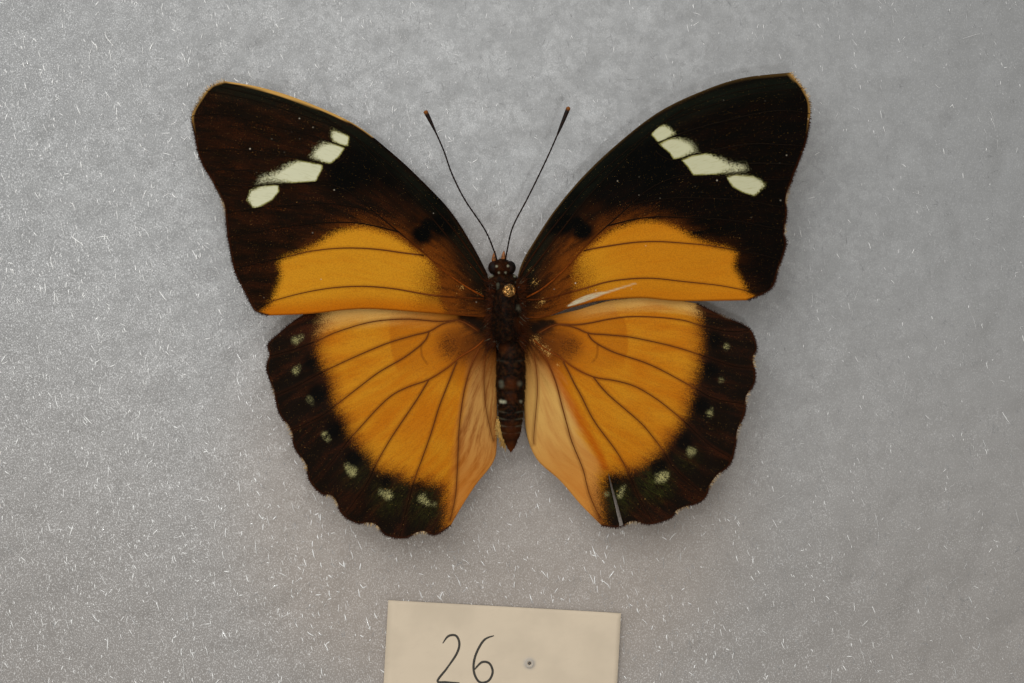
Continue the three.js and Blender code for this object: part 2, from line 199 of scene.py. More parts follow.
FOREWING_WHITE = [
    [(-22.5, 23.4), (-20.3, 22.3), (-20.5, 21), (-22.3, 21.5), (-22.8, 22.3)],
    [
        (-23.8, 21.7), (-22.7, 21.5), (-20.9, 20.8), (-21.6, 19.7), (-22.7, 18.8), (-24.1, 19),
        (-25.4, 19.5), (-25, 20.6),
    ],
    [
        (-26.9, 19.2), (-23.7, 18.6), (-23.8, 18), (-24.6, 16.5), (-27.5, 16.3), (-32.3, 16.1),
        (-31.8, 17.2), (-29.9, 17.9), (-28.1, 18.9),
    ],
    [
        (-29.4, 16), (-29.3, 15.2), (-30.2, 14.1), (-31.8, 13.2), (-32.6, 13), (-33.5, 14.1), (-33.1, 15.3),
        (-31.8, 15.9),
    ],
]
RIGHT_FOREWING_WHITE = [
    [(18.6, 22.6), (19.3, 23.5), (20.3, 23.9), (21, 23.5), (21.7, 22.8), (21.5, 22.4), (19.5, 21.5)],
    [
        (19.6, 21.3), (21.2, 22.1), (22.5, 22.2), (24, 21.6), (24.7, 20.2), (23.9, 19.9), (21.5, 19.3),
        (20.9, 20.2),
    ],
    [
        (22.5, 19.2), (23.9, 19.8), (25.8, 20.1), (27.5, 19.7), (28.5, 19.2), (30.8, 18.7), (31.1, 18),
        (30.5, 17.5), (23.9, 17.3), (23.4, 18.2),
    ],
    [
        (28.2, 17), (29.1, 17.3), (31.8, 17.2), (32.6, 16.8), (33.4, 16.1), (32.6, 15.2), (31.8, 14.6),
        (30.3, 15.1), (29, 15.8),
    ],
]
HINDWING_BORDER = [
    (-23.7, 3), (-24, -1), (-24.5, -2.6), (-24.6, -4.3), (-24.3, -6.3), (-23.4, -7.9), (-22.7, -9.9),
    (-22.1, -12.6), (-20.9, -14.4), (-20.3, -15.9), (-19.4, -17.4), (-17.7, -18.8), (-16.6, -20.5),
    (-14.5, -21.3), (-12.6, -22.1), (-9.8, -22.5), (-8.5, -23.1), (-8.2, -24.8), (-8.1, -27.1), (-8.3, -32),
]
BORDER_FAR_SIDE = [(-40, -32), (-40, 3)]
RIGHT_BORDER = [
    (25, 3), (25, -1.9), (25.2, -4.9), (24.6, -7.8), (23.6, -12.4), (22, -15.6), (20, -18.2), (17.3, -20.3),
    (14.9, -21.1), (12.6, -21.9), (12.2, -24), (12.5, -28), (12.6, -32),
]
RIGHT_BORDER_FAR_SIDE = [(40, -32), (40, 3)]
CREAM_EDGE = [(-4.2, -3.4), (-4.8, -5.2), (-5, -8), (-5.8, -11.7), (-6.5, -16.8), (-7.2, -23.3), (-7.6, -29)]
CREAM_FAR_SIDE = [(0, -29), (0, -3.4)]
RIGHT_CREAM_EDGE = [
    (3.4, -4.2), (4.4, -5.6), (6.3, -7.8), (8.2, -11.7), (9.6, -15.5), (11.4, -18.8), (12.2, -20.7),
    (12.2, -24), (12.6, -29),
]
RIGHT_CREAM_FAR_SIDE = [(0, -29), (0, -4.2)]

# Round marks are (x, y, radius, strength).
PALE_SPOTS = [
    (-27.3, -3.9, 0.7, 0.6), (-26.6, -3.5, 0.6, 0.4), (-27.3, -7.9, 0.6, 0.6), (-26.9, -7.4, 0.5, 0.3),
    (-25.5, -11.6, 0.6, 0.4), (-25.2, -12.1, 0.5, 0.25), (-23.6, -16.1, 0.6, 0.45),
    (-23.2, -16.6, 0.6, 0.45), (-20.6, -20.2, 0.6, 0.45), (-20, -20.9, 0.8, 0.75), (-16.2, -23.6, 0.6, 0.5),
    (-15.4, -24, 0.8, 0.7), (-11, -24.5, 0.7, 0.65), (-10.4, -25, 0.6, 0.55), (-9.5, -25.2, 0.5, 0.4),
    (-10.8, -24, 0.5, 0.4),
]
BLACK_SPOTS = [
    (-25.3, -6.8, 1.2, 0.8), (-24.4, -10.8, 1.5, 0.95), (-22.4, -15.4, 1.5, 0.95), (-19.9, -19.2, 1.4, 1.0),
    (-15.6, -22.1, 1.1, 0.8), (-11.2, -22.7, 1.0, 0.6),
]
GREEN_SPOTS = [(-19.6, -21.2, 2.2, 0.45), (-15.2, -24.2, 2.7, 0.65), (-10.6, -25.4, 2.8, 0.65)]
RIGHT_PALE_SPOTS = [
    (28.4, -4.7, 0.5, 0.5), (28.3, -5, 0.4, 0.3), (27.7, -9.1, 0.6, 0.3), (26.2, -13.4, 0.6, 0.5),
    (26.4, -12.8, 0.4, 0.3), (23.8, -18.4, 0.7, 0.65), (23.5, -17.9, 0.4, 0.4), (24.2, -18.2, 0.5, 0.5),
    (20.2, -21.6, 0.8, 0.9), (19.6, -22, 0.6, 0.6), (20.7, -21.3, 0.5, 0.5), (19.3, -21.4, 0.4, 0.4),
    (14.9, -23.4, 0.5, 0.6), (14.6, -24.1, 0.5, 0.6), (15.2, -22.9, 0.4, 0.4), (12.9, -23.9, 0.5, 0.4),
]
RIGHT_BLACK_SPOTS = [
    (26.8, -4, 1.3, 0.8), (26.4, -7.7, 1.4, 0.9), (25, -12.3, 1.5, 0.95), (22.9, -17.2, 1.4, 0.95),
    (19.6, -20.3, 1.3, 0.95), (13.8, -22.1, 1.1, 0.7),
]
RIGHT_GREEN_SPOTS = [(19.2, -22.5, 2.5, 1.0), (14.5, -24.6, 2.2, 0.8), (23.4, -19.2, 1.8, 0.4)]
RED_STREAK = [(5.2, -6), (6.1, -7.9), (8, -11.6), (9.4, -14.2), (10.6, -16.3), (11.9, -18.6), (12.7, -20.4)]
FOREWING_BLOTCH = [
    (-10.9, 9.7, 1.7, 1.0), (-10.2, 10.8, 1.5, 0.9), (-8.6, 10.9, 2.0, 0.95), (-12, 11.4, 1.6, 0.5),
    (-7.4, 10.4, 1.4, 0.7),
]
FOREWING_GLOOM = [
    (-18.5, 19, 4.6, 0.8), (-20.8, 17.2, 3.2, 0.9), (-15, 17.5, 3.5, 0.6), (-9.5, 13.8, 3, 0.7),
    (-12.5, 15.5, 3, 0.5),
]
HINDWING_SMUDGE = [(-7.1, -4.6, 2.5, 0.9), (-5.4, -5.1, 2.5, 0.9), (-4.2, -5.6, 2, 0.7)]
# Golden flecks of loose scales near the roots.
FLECKS = {
    "left_forewing": [(-5.8, 2.9, 0.5, 0.5), (-3.6, 2.2, 0.5, 0.4)],
    "right_forewing": [
        (3.6, 3.5, 0.8, 0.42), (4.5, 1.1, 0.6, 0.62), (3.2, 5.1, 0.6, 0.3), (3.8, 0.4, 0.6, 0.3),
    ],
    "right_hindwing": [
        (3.8, -3.9, 0.9, 0.5), (4.8, -5, 0.8, 0.6), (5.4, -5.6, 0.7, 0.62), (6.6, -7.1, 0.35, 0.6),
    ],
}
# How ragged each white patch is on its outer side.
RAGGED = (0.55, 1.0, 1.0, 0.3)
HINDWING_JOINT = [(-3.6, -2.1, 1.3, 1.0), (-4.7, -1.4, 1.3, 1.0), (-5.7, -1.0, 0.9, 0.9)]

# The slit torn in the right hindwing, from its inner end outwards, and the bare crease in the right forewing.
TEAR = [(13.1, -21), (13.5, -22.7), (14, -24.6), (14.5, -26.6), (14.9, -28.2)]
TEAR_WIDTH = 0.5
CREASE = [(7.9, 0.5), (9.1, 1.05), (10.6, 1.6), (11.9, 2), (12.9, 2.25), (14.5, 2.75), (16.6, 3.4)]
CREASE_HALF_WIDTHS = [(0, 0.03), (0.1, 0.2), (0.25, 0.3), (0.42, 0.24), (0.55, 0.08), (1, 0.02)]
# The orange rim of the left forewing's front edge: how thick it is at each share of the way out.
FRONT_RIM = [(0, 0), (0.52, 0), (0.58, 0.1), (0.7, 0.34), (0.83, 0.4), (0.94, 0.24), (1, 0.1)]

# Each wing's grid, its size on the scale that its streaks follow, and the points along each of its veins.
CELLS_OUT = 126
CELLS_ACROSS = 114
STREAK_SPAN = (38, 30)
VEIN_RINGS = 44

# The body. Points along it are (distance ahead of the wing roots, radius).
THORAX_PROFILE = [
    (-4.4, 0), (-4.3, 0.8), (-3.7, 1.45), (-2.4, 1.95), (-0.8, 2.15), (0.8, 2.1), (2.2, 1.8), (2.9, 1.35),
    (3.4, 1.3), (3.8, 0.8), (3.85, 0),
]
THORAX_AT = (-0.1, 0, -0.4)
THORAX_HEIGHT_SHARE = 1.18
ABDOMEN_AT = (0.5, 0, -0.9)
ABDOMEN_FRONT = -4.5
ABDOMEN_REAR = -18.6
# Where the abdomen's rings meet, from the front to the rear.
RING_SEAMS = [-4.5, -6.6, -8.5, -10.5, -12.35, -13.2, -14.1, -15, -15.9, -16.8, -18.6]
PALE_SEAMS = [(-6.6, 0.03), (-13.2, 0.07), (-14.1, 0.09), (-15, 0.09), (-15.9, 0.05)]
# The abdomen's radius at points along it.
ABDOMEN_WIDTHS = [
    (-18.6, 0), (-18.2, 0.28), (-17.5, 0.66), (-16.6, 1.08), (-15.5, 1.4), (-14, 1.61), (-11.9, 1.78),
    (-9.6, 1.95), (-6.6, 1.9), (-4.5, 1.6),
]
COLLAR_AT = (-0.45, 3.75, -0.35)
COLLAR_RADII = (2.05, 1.1, 1.35)
HEAD_AT = (-0.65, 5.4, -0.2)
HEAD_RADII = (1.35, 1.2, 1.25)
EYE_OUT = 1.02
EYE_RADII = (0.78, 0.9, 0.86)
PALPS = [(-1.38, 0.5), (-0.2, 0.5)]
BODY_SPOTS = [
    (-1.33, 5.62, 0.17, 0.5), (0.12, 5.65, 0.17, 0.5), (-1.05, 4.8, 0.16, 0.45), (-0.18, 4.79, 0.16, 0.45),
    (-2.35, 4.1, 0.16, 0.6), (-2.15, 4.25, 0.16, 0.6), (-1.95, 4.4, 0.16, 0.5), (1.0, 4.35, 0.18, 0.4),
    (1.2, 3.55, 0.16, 0.25), (-1.22, 3.2, 0.3, 0.2), (-1.3, 2.9, 0.3, 0.2), (-2.3, 0.2, 0.3, 0.25),
    (1.5, 0.3, 0.35, 0.2), (-0.75, -9.4, 0.36, 0.12), (-0.7, -9.8, 0.36, 0.12), (1.65, -9.55, 0.4, 0.08),
    (-0.78, -11.85, 0.26, 0.6), (-0.5, -11.9, 0.26, 0.6), (-0.25, -11.9, 0.22, 0.4),
    (1.8, -11.85, 0.22, 0.25),
]
RED_SPOTS = [
    (0.5, -18.4, 1.4, 0.5), (0.5, -15.8, 1.5, 0.25), (-0.7, 5.4, 1.2, 0.15), (2.2, -1.9, 1.2, 0.4),
    (0.6, -9.6, 0.9, 0.3), (0.6, -11.4, 0.8, 0.2), (-0.3, -4.9, 0.8, 0.25),
]

# Each part's hair: its number, length as a share of the thorax's, lean, seed and thickness.
BODY_HAIR = {
    "thorax": (3600, 1.0, (0, -0.55, -0.05), 11, 0.022),
    "abdomen": (2200, 0.42, (0, -0.8, -0.05), 12, 0.018),
    "collar": (1400, 0.6, (0, -0.5, 0.05), 14, 0.022),
    "head": (1200, 0.5, (0, -0.25, 0.1), 13, 0.022),
}
ROOT_HAIRS = 1300
TAIL_HAIRS = 420

# Routes from the head to the tip of each antenna, (x, y, height).
ANTENNAE = {
    "left_antenna": [
        (-1.3, 6.3, 0.9), (-1.6, 7.4, 1.45), (-2.8, 10.2, 2), (-5.4, 14.1, 2.4), (-7.05, 17.4, 2.6),
        (-8.15, 20.5, 2.7), (-9.45, 23.4, 2.8), (-10.5, 25.5, 2.8),
    ],
    "right_antenna": [
        (-0.2, 6.3, 0.9), (0, 7.5, 1.45), (0.75, 10.6, 2), (2.7, 14.4, 2.4), (4.95, 19, 2.6),
        (6.55, 22.6, 2.7), (7.95, 26, 2.8),
    ],
}
# How far out along an antenna its club starts.
CLUB_START = 0.82
LEGS = {
    "middle_leg": [(1, 1.4, -3), (2.7, 2.2, -4.1), (2.1, -1.1, -4.9), (1.9, -3.9, -5.3)],
    "hind_leg": [(0.9, -1.3, -3), (2.6, -2.6, -4.1), (1.3, -5.6, -5), (1, -8.6, -5.5)],
}

# The card, and the pen strokes of its number, from the card's middle.
CARD_LENGTH = 30.8
CARD_WIDTH = 19
CARD_CENTRE = (-1.5, -39.5)
CARD_TURN = math.radians(-3.2)
CARD_HOLE = (3.7, 2.2)
CARD_HOLE_RADIUS = 0.2
# A spoke of the card's mesh that runs this near to a corner, in radians, is turned to it.
CORNER_CATCH = 0.034
STROKES = [
    [
        (-7.9, 4.2), (-7.2, 5.2), (-6.2, 5.3), (-5.7, 4.3), (-6, 2.9), (-7.2, 0.9), (-8.3, -0.8),
        (-7.2, -0.9), (-5.4, -0.9),
    ],
    [
        (-1.2, 5.6), (-2.5, 4.9), (-3.5, 2.8), (-3.6, 0.8), (-2.8, -0.6), (-1.6, -0.4), (-1.1, 0.8),
        (-1.6, 1.9), (-2.6, 2), (-3.5, 1),
    ],
]

# The layer of wadding: the cells of its mesh along its length and width, its soft shoulders and its lumps.
PAD_CELLS = (210, 158)
SHOULDER = 5
LUMP = 0.35
SHOULDER_DROP = 1.8

SEED = 20

# The stage, in metres: the point that the lights aim at, and each light's shape, tint and place.
AIM = (0, 0.005, 0.02)
LENS = 81.5
SPARK_WIDTH = 0.014
WINDOW_WIDTH = 0.25
LAMPS = {
    "key": ("DISK", (0.97, 0.985, 1.0), (-0.045, 0.12, 0.36)),
    "spark": ("DISK", (1, 1, 1), (0.03, -0.06, 0.42)),
    "window": ("SQUARE", (1, 1, 1), (-0.2, 0.2, 0.22)),
}


def srgb(*levels):
    """A display colour, 0 to 255, as Blender's linear colour."""
    shares = [level / 255 for level in levels]
    return tuple(s / 12.92 if s < 0.04045 else ((s + 0.055) / 1.055) ** 2.4 for s in shares)


def shaded(tone, share):
    """A colour made darker, or lighter with a share over 1."""
    return tuple(min(1.0, share * x) for x in tone)


def colour(name, description, *levels):
    return FloatVectorProperty(name=name, description=description, subtype="COLOR", min=0, max=1,
                               default=srgb(*levels))


def length(name, description, millimetres):
    return FloatProperty(name=name, description=description, unit="LENGTH", min=0, precision=6,
                         default=millimetres * MM)


def amount(name, description, default):
    return IntProperty(name=name, description=description, min=1, default=default)


def brightness(name, description, default):
    return FloatProperty(name=name, description=description, min=0, default=default)


class SpecimenSizes(bpy.types.PropertyGroup):
    """The sizes and numbers of the fine pieces."""
    membrane: length("Membrane", "Thickness of the wings", 0.1)
    vein: length("Vein", "Radius of a wing vein at its root", 0.125)
    fringe: length("Fringe", "Length of the scales along the wings' outer edges", 0.34)
    fur: length("Fur", "Length of the hairs on the thorax", 0.85)
    fibre: length("Fibre", "Thickness of one fibre of the wadding", 0.05)
    fibre_reach: length("Fibre reach", "Length of one long fibre of the wadding", 4)
    glint: length("Glint", "Thickness of a bright arc of fibre", 0.13)
    glint_reach: length("Glint reach", "Length of a bright arc of fibre", 1)
    card: length("Card", "Thickness of the card", 0.24)
    pen: length("Pen", "Width of the pen's stroke", 0.3)
    fibre_pieces: amount("Fibre pieces", "Pieces that the loose fibres are shared among", 4)
    fibres_each: amount("Fibres in a piece", "Number of long fibres in each piece", 300)
    glints_each: amount("Glints in a piece", "Number of bright arcs in each piece", 4100)


class SpecimenColours(bpy.types.PropertyGroup):
    """The colours of the wings, the body and the bed."""
    orange: colour("Orange", "Main colour of the patches", 200, 136, 28)
    deep_orange: colour("Deep orange", "Patches near the rear edges", 184, 102, 10)
    rust: colour("Rust", "Streaks on the orange", 88, 40, 8)
    vein: colour("Vein", "Veins on the orange", 98, 52, 20)
    vein_root: colour("Vein root", "Veins near the wing roots", 128, 60, 12)
    burnt: colour("Burnt orange", "Streak beside the right hindwing's inner edge", 168, 80, 4)
    dusk: colour("Dusk", "The dusky wing roots", 108, 54, 10)
    brown: colour("Brown", "Dark parts of the wings", 19, 11, 5)
    red_brown: colour("Red brown", "Streaks in the dark parts", 60, 27, 10)
    black: colour("Black", "Deepest spots", 4, 4, 3)
    # The teal is painted sheen along the forewings' front edges.
    teal: colour("Teal", "Cast along the front edges", 17, 22, 14)
    white: colour("White", "The band of the forewings", 200, 199, 168)
    lemon: colour("Lemon", "Rims of the band", 136, 130, 70)
    pale_spot: colour("Pale spot", "Spots of the hindwings' borders", 172, 166, 112)
    olive: colour("Olive", "Shine around the rear spots", 46, 48, 16)
    cream: colour("Cream", "Inner edge of the hindwings", 202, 156, 84)
    peach: colour("Peach", "Streaks of the inner edge", 172, 112, 56)
    straw: colour("Straw", "Front strip of the hindwings", 214, 172, 98)
    tuft: colour("Tuft", "Pale fringes and hair", 214, 200, 178)
    cuticle: colour("Cuticle", "The body", 13, 9, 6)
    palp: colour("Palp", "Palps and antenna tips", 150, 88, 28)
    wadding: colour("Wadding", "The wadding", 183, 184, 184)
    card: colour("Card", "The card", 214, 198, 174)
    ink: colour("Ink", "The number on the card", 44, 40, 32)
    brass: colour("Brass", "The pin", 222, 166, 96)
    board: colour("Board", "The pinning board", 226, 224, 216)
    floor: colour("Floor", "The floor under the specimen", 214, 212, 208)


class SpecimenLight(bpy.types.PropertyGroup):
    """The camera and the lights."""
    camera_height: length("Camera height", "Height of the camera over the floor", 323)
    key_power: brightness("Key power", "Power of the main light in watts", 0.455)
    key_size: length("Key size", "Width of the main light", 260)
    spark_power: brightness("Spark power", "Power of the small light that the fibres catch", 0.2)
    window_power: brightness("Window power", "Power of the wide light from the left", 0.29)
    fill: brightness("Fill", "Strength of the surrounding light", 0.41)


class Tree:
    """Short calls for laying out a material's nodes or a node group's."""

    def __init__(self, tree):
        self.tree = tree

    def add(self, kind, inputs=(), **settings):
        """A new node, with its settings and its inputs as {name or number: value or socket}."""
        made = self.tree.nodes.new("ShaderNode" + kind)
        for name, value in settings.items():
            setattr(made, name, value)
        for key, value in dict(inputs).items():
            self.feed(made.inputs[key], value)
        return made

    def feed(self, socket, value):
        if isinstance(value, bpy.types.NodeSocket):
            self.tree.links.new(value, socket)
        elif socket.type == "RGBA" and len(value) == 3:
            socket.default_value = (*value, 1)
        else:
            socket.default_value = value

    def math(self, operation, first, second):
        return self.add("Math", {0: first, 1: second}, operation=operation).outputs[0]

    def plus(self, first, second):
        return self.math("ADD", first, second)

    def minus(self, first, second):
        return self.math("SUBTRACT", first, second)

    def times(self, first, second):
        return self.math("MULTIPLY", first, second)

    def mix(self, mask, under, over):
        made = self.add("Mix", data_type="RGBA", clamp_factor=True)
        self.feed(made.inputs[0], mask)
        self.feed(made.inputs[6], under)
        self.feed(made.inputs[7], over)
        return made.outputs[2]

    def ramp(self, value, low, high, to_low=0.0, to_high=1.0):
        """value from low to high, eased to run from to_low to to_high."""
        inputs = {"Value": value, "From Min": low, "From Max": high, "To Min": to_low, "To Max": to_high}
        return self.add("MapRange", inputs, interpolation_type="SMOOTHSTEP").outputs[0]

    def mark(self, name):
        return self.add("Attribute", attribute_name=name).outputs["Fac"]

    def marked(self, name, *limits):
        return self.ramp(self.mark(name), *limits)

    def millimetres(self):
        place = self.add("TexCoord").outputs["Object"]
        return self.add("VectorMath", {0: place, "Scale": 1 / MM}, operation="SCALE").outputs[0]

    def stretched(self, vector, scale, turn=0.0):
        stretch = tuple(1 / s for s in scale)
        inputs = {"Vector": vector, "Rotation": (0, 0, turn), "Scale": stretch}
        return self.add("Mapping", inputs, vector_type="TEXTURE").outputs[0]

    def noise(self, vector, scale, detail=2.0, roughness=0.5):
        inputs = {"Vector": vector, "Scale": scale, "Detail": detail, "Roughness": roughness}
        return self.add("TexNoise", inputs).outputs[0]

    def scattered(self, value, grain, spread):
        """value, unsettled by the grain of single scales."""
        return self.plus(value, self.times(grain, spread))

    def centred(self, grain, spread):
        """grain moved to lie about 0, as wide as spread."""
        return self.times(self.minus(grain, 0.5), spread)

    def group(self, tree, inputs):
        made = self.tree.nodes.new("ShaderNodeGroup")
        made.node_tree = tree
        for key, value in inputs.items():
            self.feed(made.inputs[key], value)
        return made.outputs

    def bump(self, height, strength, distance):
        inputs = {"Height": height, "Strength": strength, "Distance": distance}
        return self.add("Bump", inputs).outputs[0]


def new_group(name, inputs, outputs):
    """A node group with named inputs, {name: default}, and outputs, and the sockets inside it."""
    tree = bpy.data.node_groups.new(name, "ShaderNodeTree")
    for label, default in inputs.items():
        kind = "NodeSocketVector" if default is None else "NodeSocketFloat"
        socket = tree.interface.new_socket(label, in_out="INPUT", socket_type=kind)
        if default is not None:
            socket.default_value = default
    for label in outputs:
        tree.interface.new_socket(label, in_out="OUTPUT", socket_type="NodeSocketFloat")
    t = Tree(tree)
    source = tree.nodes.new("NodeGroupInput").outputs
    result = tree.nodes.new("NodeGroupOutput").inputs
    return t, source, result


def scale_grain():
    """Single wing scales: Speckle is fine dots, Brushed short streaks along the wing, and Grain both."""
    name = "Scale Grain"
    if name in bpy.data.node_groups:
        return bpy.data.node_groups[name]
    inputs = {"Vector": None, "Flow": None, "Fineness": 9.0}
    t, source, result = new_group(name, inputs, ["Speckle", "Brushed", "Grain"])
    speckle = t.noise(source["Vector"], source["Fineness"], 2.0, 0.6)
    brushed = t.noise(t.stretched(source["Flow"], (0.8, 6.0, 1)), 1.0, 2.0, 0.6)
    t.feed(result["Speckle"], speckle)
    t.feed(result["Brushed"], brushed)
    dots = t.centred(speckle, 1.6)
    t.feed(result["Grain"], t.plus(dots, t.centred(brushed, 0.35)))
    return t.tree


def scale_dust():
    """Wing scales' fine dust: a height for bump, a shade from 0 to 1, and a mask of single bright scales and
    painted glints.
    """
    name = "Scale Dust"
    if name in bpy.data.node_groups:
        return bpy.data.node_groups[name]
    t, source, result = new_group(name, {"Vector": None, "Size": 5.0}, ["Height", "Shade", "Glint"])
    fine = t.noise(source["Vector"], source["Size"], 2.0, 0.6)
    broad = t.noise(source["Vector"], 0.55, 4.0, 0.6)
    cells = t.add("TexVoronoi", {"Vector": source["Vector"], "Scale": 1.1}, feature="F1")
    chosen = t.add("SeparateColor", {0: cells.outputs["Color"]}).outputs[0]
    near = t.ramp(cells.outputs["Distance"], 0.16, 0.04)
    few = t.times(near, t.ramp(chosen, 0.78, 0.9))
    t.feed(result["Height"], fine)
    t.feed(result["Shade"], t.plus(t.times(fine, 0.5), t.times(broad, 0.5)))
    t.feed(result["Glint"], t.times(few, t.ramp(broad, 0.5, 0.62)))
    return t.tree


class Coat(Tree):
    """A new material's nodes, its shader and the colours laid on so far."""

    def __init__(self, name):
        self.material = bpy.data.materials.new(name)
        self.material.use_nodes = True
        super().__init__(self.material.node_tree)
        self.tree.nodes.clear()
        shader = self.add("BsdfPrincipled")
        self.add("OutputMaterial", {"Surface": shader.outputs[0]})
        self.sockets = shader.inputs
        self.base = None

    def lay(self, mask, over):
        """One more colour over the rest, where the mask says."""
        self.base = self.mix(mask, self.base, over)

    def finished(self, tint, roughness, gloss=0.5, normal=None, **others):
        """The material, with its shader's sockets set."""
        inputs = {"Base Color": tint, "Roughness": roughness, "Specular IOR Level": gloss, **others}
        if normal is not None:
            inputs["Normal"] = normal
        for name, value in inputs.items():
            self.feed(self.sockets[name], value)
        return self.material


class WingCoat(Coat):
    """A wing's coat, with the dust and the grain of its scales."""

    def __init__(self, name):
        super().__init__(name)
        self.mm = self.millimetres()
        self.flow = self.add("Attribute", attribute_name="flow").outputs["Vector"]
        self.dust = self.group(scale_dust(), {"Vector": self.mm, "Size": 6.5})
        scales = self.group(scale_grain(), {"Vector": self.mm, "Flow": self.flow, "Fineness": 9.5})
        self.speckle, self.brushed, self.grain = (scales[key] for key in ("Speckle", "Brushed", "Grain"))

    def streaks(self, along, across):
        """Noise drawn out along the wing."""
        return self.noise(self.stretched(self.flow, (along, across, 1)), 1.0, 3.0, 0.6)

    def blot(self, name, spread, *limits):
        """A mark with its edge broken up by the grain."""
        return self.ramp(self.scattered(self.mark(name), self.grain, spread), *limits)

    def scaly(self, under, smooth, dull, gloss):
        """The material, with its colours in a paler form on the faces that look down."""
        down = self.add("SeparateXYZ", {0: self.add("TexCoord").outputs["Normal"]}).outputs[2]
        self.lay(self.ramp(down, 0.0, -0.3, 0, 0.35), under)
        roughness = self.ramp(self.dust["Shade"], 0.3, 0.7, smooth, dull)
        return self.finished(self.base, roughness, gloss, self.bump(self.dust["Height"], 0.3, 0.00003))


def forewing_scales(c):
    """Brown-black with an orange patch, a broken white band and a dusky root."""
    t = WingCoat("Forewing Scales")
    brushed, grain, dust = t.brushed, t.grain, t.dust
    streaks = t.streaks(0.16, 0.8)
    cloudy = t.streaks(0.35, 0.6)
    root = t.mark("root")

    bands = t.times(t.ramp(streaks, 0.38, 0.72), t.marked("vein", 0.1, 1.0, 0.3, 1))
    t.base = t.mix(t.times(bands, 0.36), c.brown, c.red_brown)
    rusty = t.ramp(t.scattered(cloudy, grain, 0.7), 0.5, 0.78)
    t.lay(t.times(rusty, 0.42), c.red_brown)
    beside_vein = t.times(t.ramp(t.scattered(streaks, grain, 1.1), 0.72, 0.95), t.marked("vein", 1.1, 0.2))
    t.lay(t.times(beside_vein, 0.8), c.rust)
    t.lay(t.ramp(grain, 0.02, -0.2, 0, 0.65), c.black)
    # Painted shade: the right forewing is laid darker, towards black, away from its root.
    t.lay(t.mark("dim"), c.black)
    t.lay(t.blot("gloom", 0.5, 0.05, 0.8, 0, 0.9), c.black)
    # Painted sheen: a teal cast along the front edge.
    front = t.times(t.marked("costa", 3.4, 0.9), t.marked("costa", 0.15, 0.6))
    front = t.times(front, t.ramp(t.scattered(streaks, grain, 0.3), 0.3, 0.65, 0.2, 0.8))
    t.lay(front, c.teal)
    dusk = t.times(t.ramp(root, 17, 8), t.marked("costa", 1.2, 5.5))
    dusk = t.times(dusk, t.ramp(t.scattered(cloudy, grain, 0.4), 0.28, 0.66, 0.2, 0.95))
    t.lay(dusk, c.dusk)
    haze = t.blot("orange", 3.2, -2.6, 0.3, 0, 0.8)
    haze = t.times(haze, t.ramp(root, 27, 17, 0.15, 1))
    t.lay(t.times(haze, t.ramp(streaks, 0.28, 0.6)), c.dusk)
    t.lay(t.blot("gloom", 0.6, 0.2, 0.9, 0, 0.7), c.black)
    # The painted shade also sets the right forewing's orange patch: less deep orange at its rear edge, deeper
    # orange all over.
    rear = t.times(t.blot("rear", 0.8, 2.6, 0.2), t.marked("dim", 0, 0.8, 1, 0.4))
    patch = t.mix(rear, c.orange, c.deep_orange)
    patch = t.mix(t.ramp(streaks, 0.4, 0.8, 0, 0.35), patch, c.deep_orange)
    patch = t.mix(t.marked("dim", 0, 0.8, 0, 0.45), patch, c.deep_orange)
    patch = t.mix(t.ramp(dust["Height"], 0.6, 0.35, 0, 0.2), patch, c.rust)
    patch = t.mix(t.ramp(brushed, 0.55, 0.8, 0, 0.16), patch, c.rust)
    patch = t.mix(t.marked("vein", 0.4, 0.1, 0, 0.25), patch, c.rust)
    edge = t.scattered(t.mark("orange"), grain, 1.7)
    outward = t.ramp(t.scattered(root, grain, 6.0), 5.4, 11.0)
    behind = t.ramp(t.scattered(root, grain, 4.0), 3.0, 7.0, 0, 0.6)
    behind = t.times(t.marked("rear", 3.2, 0.8), behind)
    lit = t.times(t.ramp(edge, -0.5, 0.6), t.math("MAXIMUM", outward, behind))
    t.lay(lit, patch)
    t.lay(t.blot("blotch", 0.7, 0.1, 0.75), c.black)
    feather = t.mark("feather")
    spread = t.plus(t.times(feather, 3.4), 0.5)
    white = t.plus(t.mark("white"), t.centred(t.speckle, spread))
    white = t.minus(white, t.times(feather, 0.4))
    t.lay(t.ramp(white, -0.1, 0.04), c.lemon)
    pale = t.mix(t.ramp(brushed, 0.5, 0.75, 0, 0.3), c.white, c.lemon)
    # The painted shade dulls the right forewing's white band towards lemon.
    pale = t.mix(t.times(t.mark("dim"), 0.25), pale, c.lemon)
    t.lay(t.ramp(white, 0.02, 0.18), pale)
    # Single bright scales: partly pale scales, partly painted glints.
    t.lay(t.times(dust["Glint"], 0.7), c.tuft)
    t.lay(t.ramp(t.scattered(root, grain, 1.0), 4.0, 1.2, 0, 0.85), c.brown)
    t.lay(t.marked("margin", 0.35, 0.02, 0, 0.7), c.red_brown)
    t.lay(t.times(t.marked("rear", 0.3, 0.05), 0.6), c.rust)
    t.lay(t.blot("fleck", 1.6, 0.5, 0.8), c.cream)
    t.lay(t.mark("rim"), c.cream)
    scuffed = t.times(t.mark("crease"), t.ramp(brushed, 0.36, 0.6, 0.35, 0.95))
    t.lay(scuffed, c.white)
    return t.scaly(c.cream, 0.55, 0.75, 0.02)


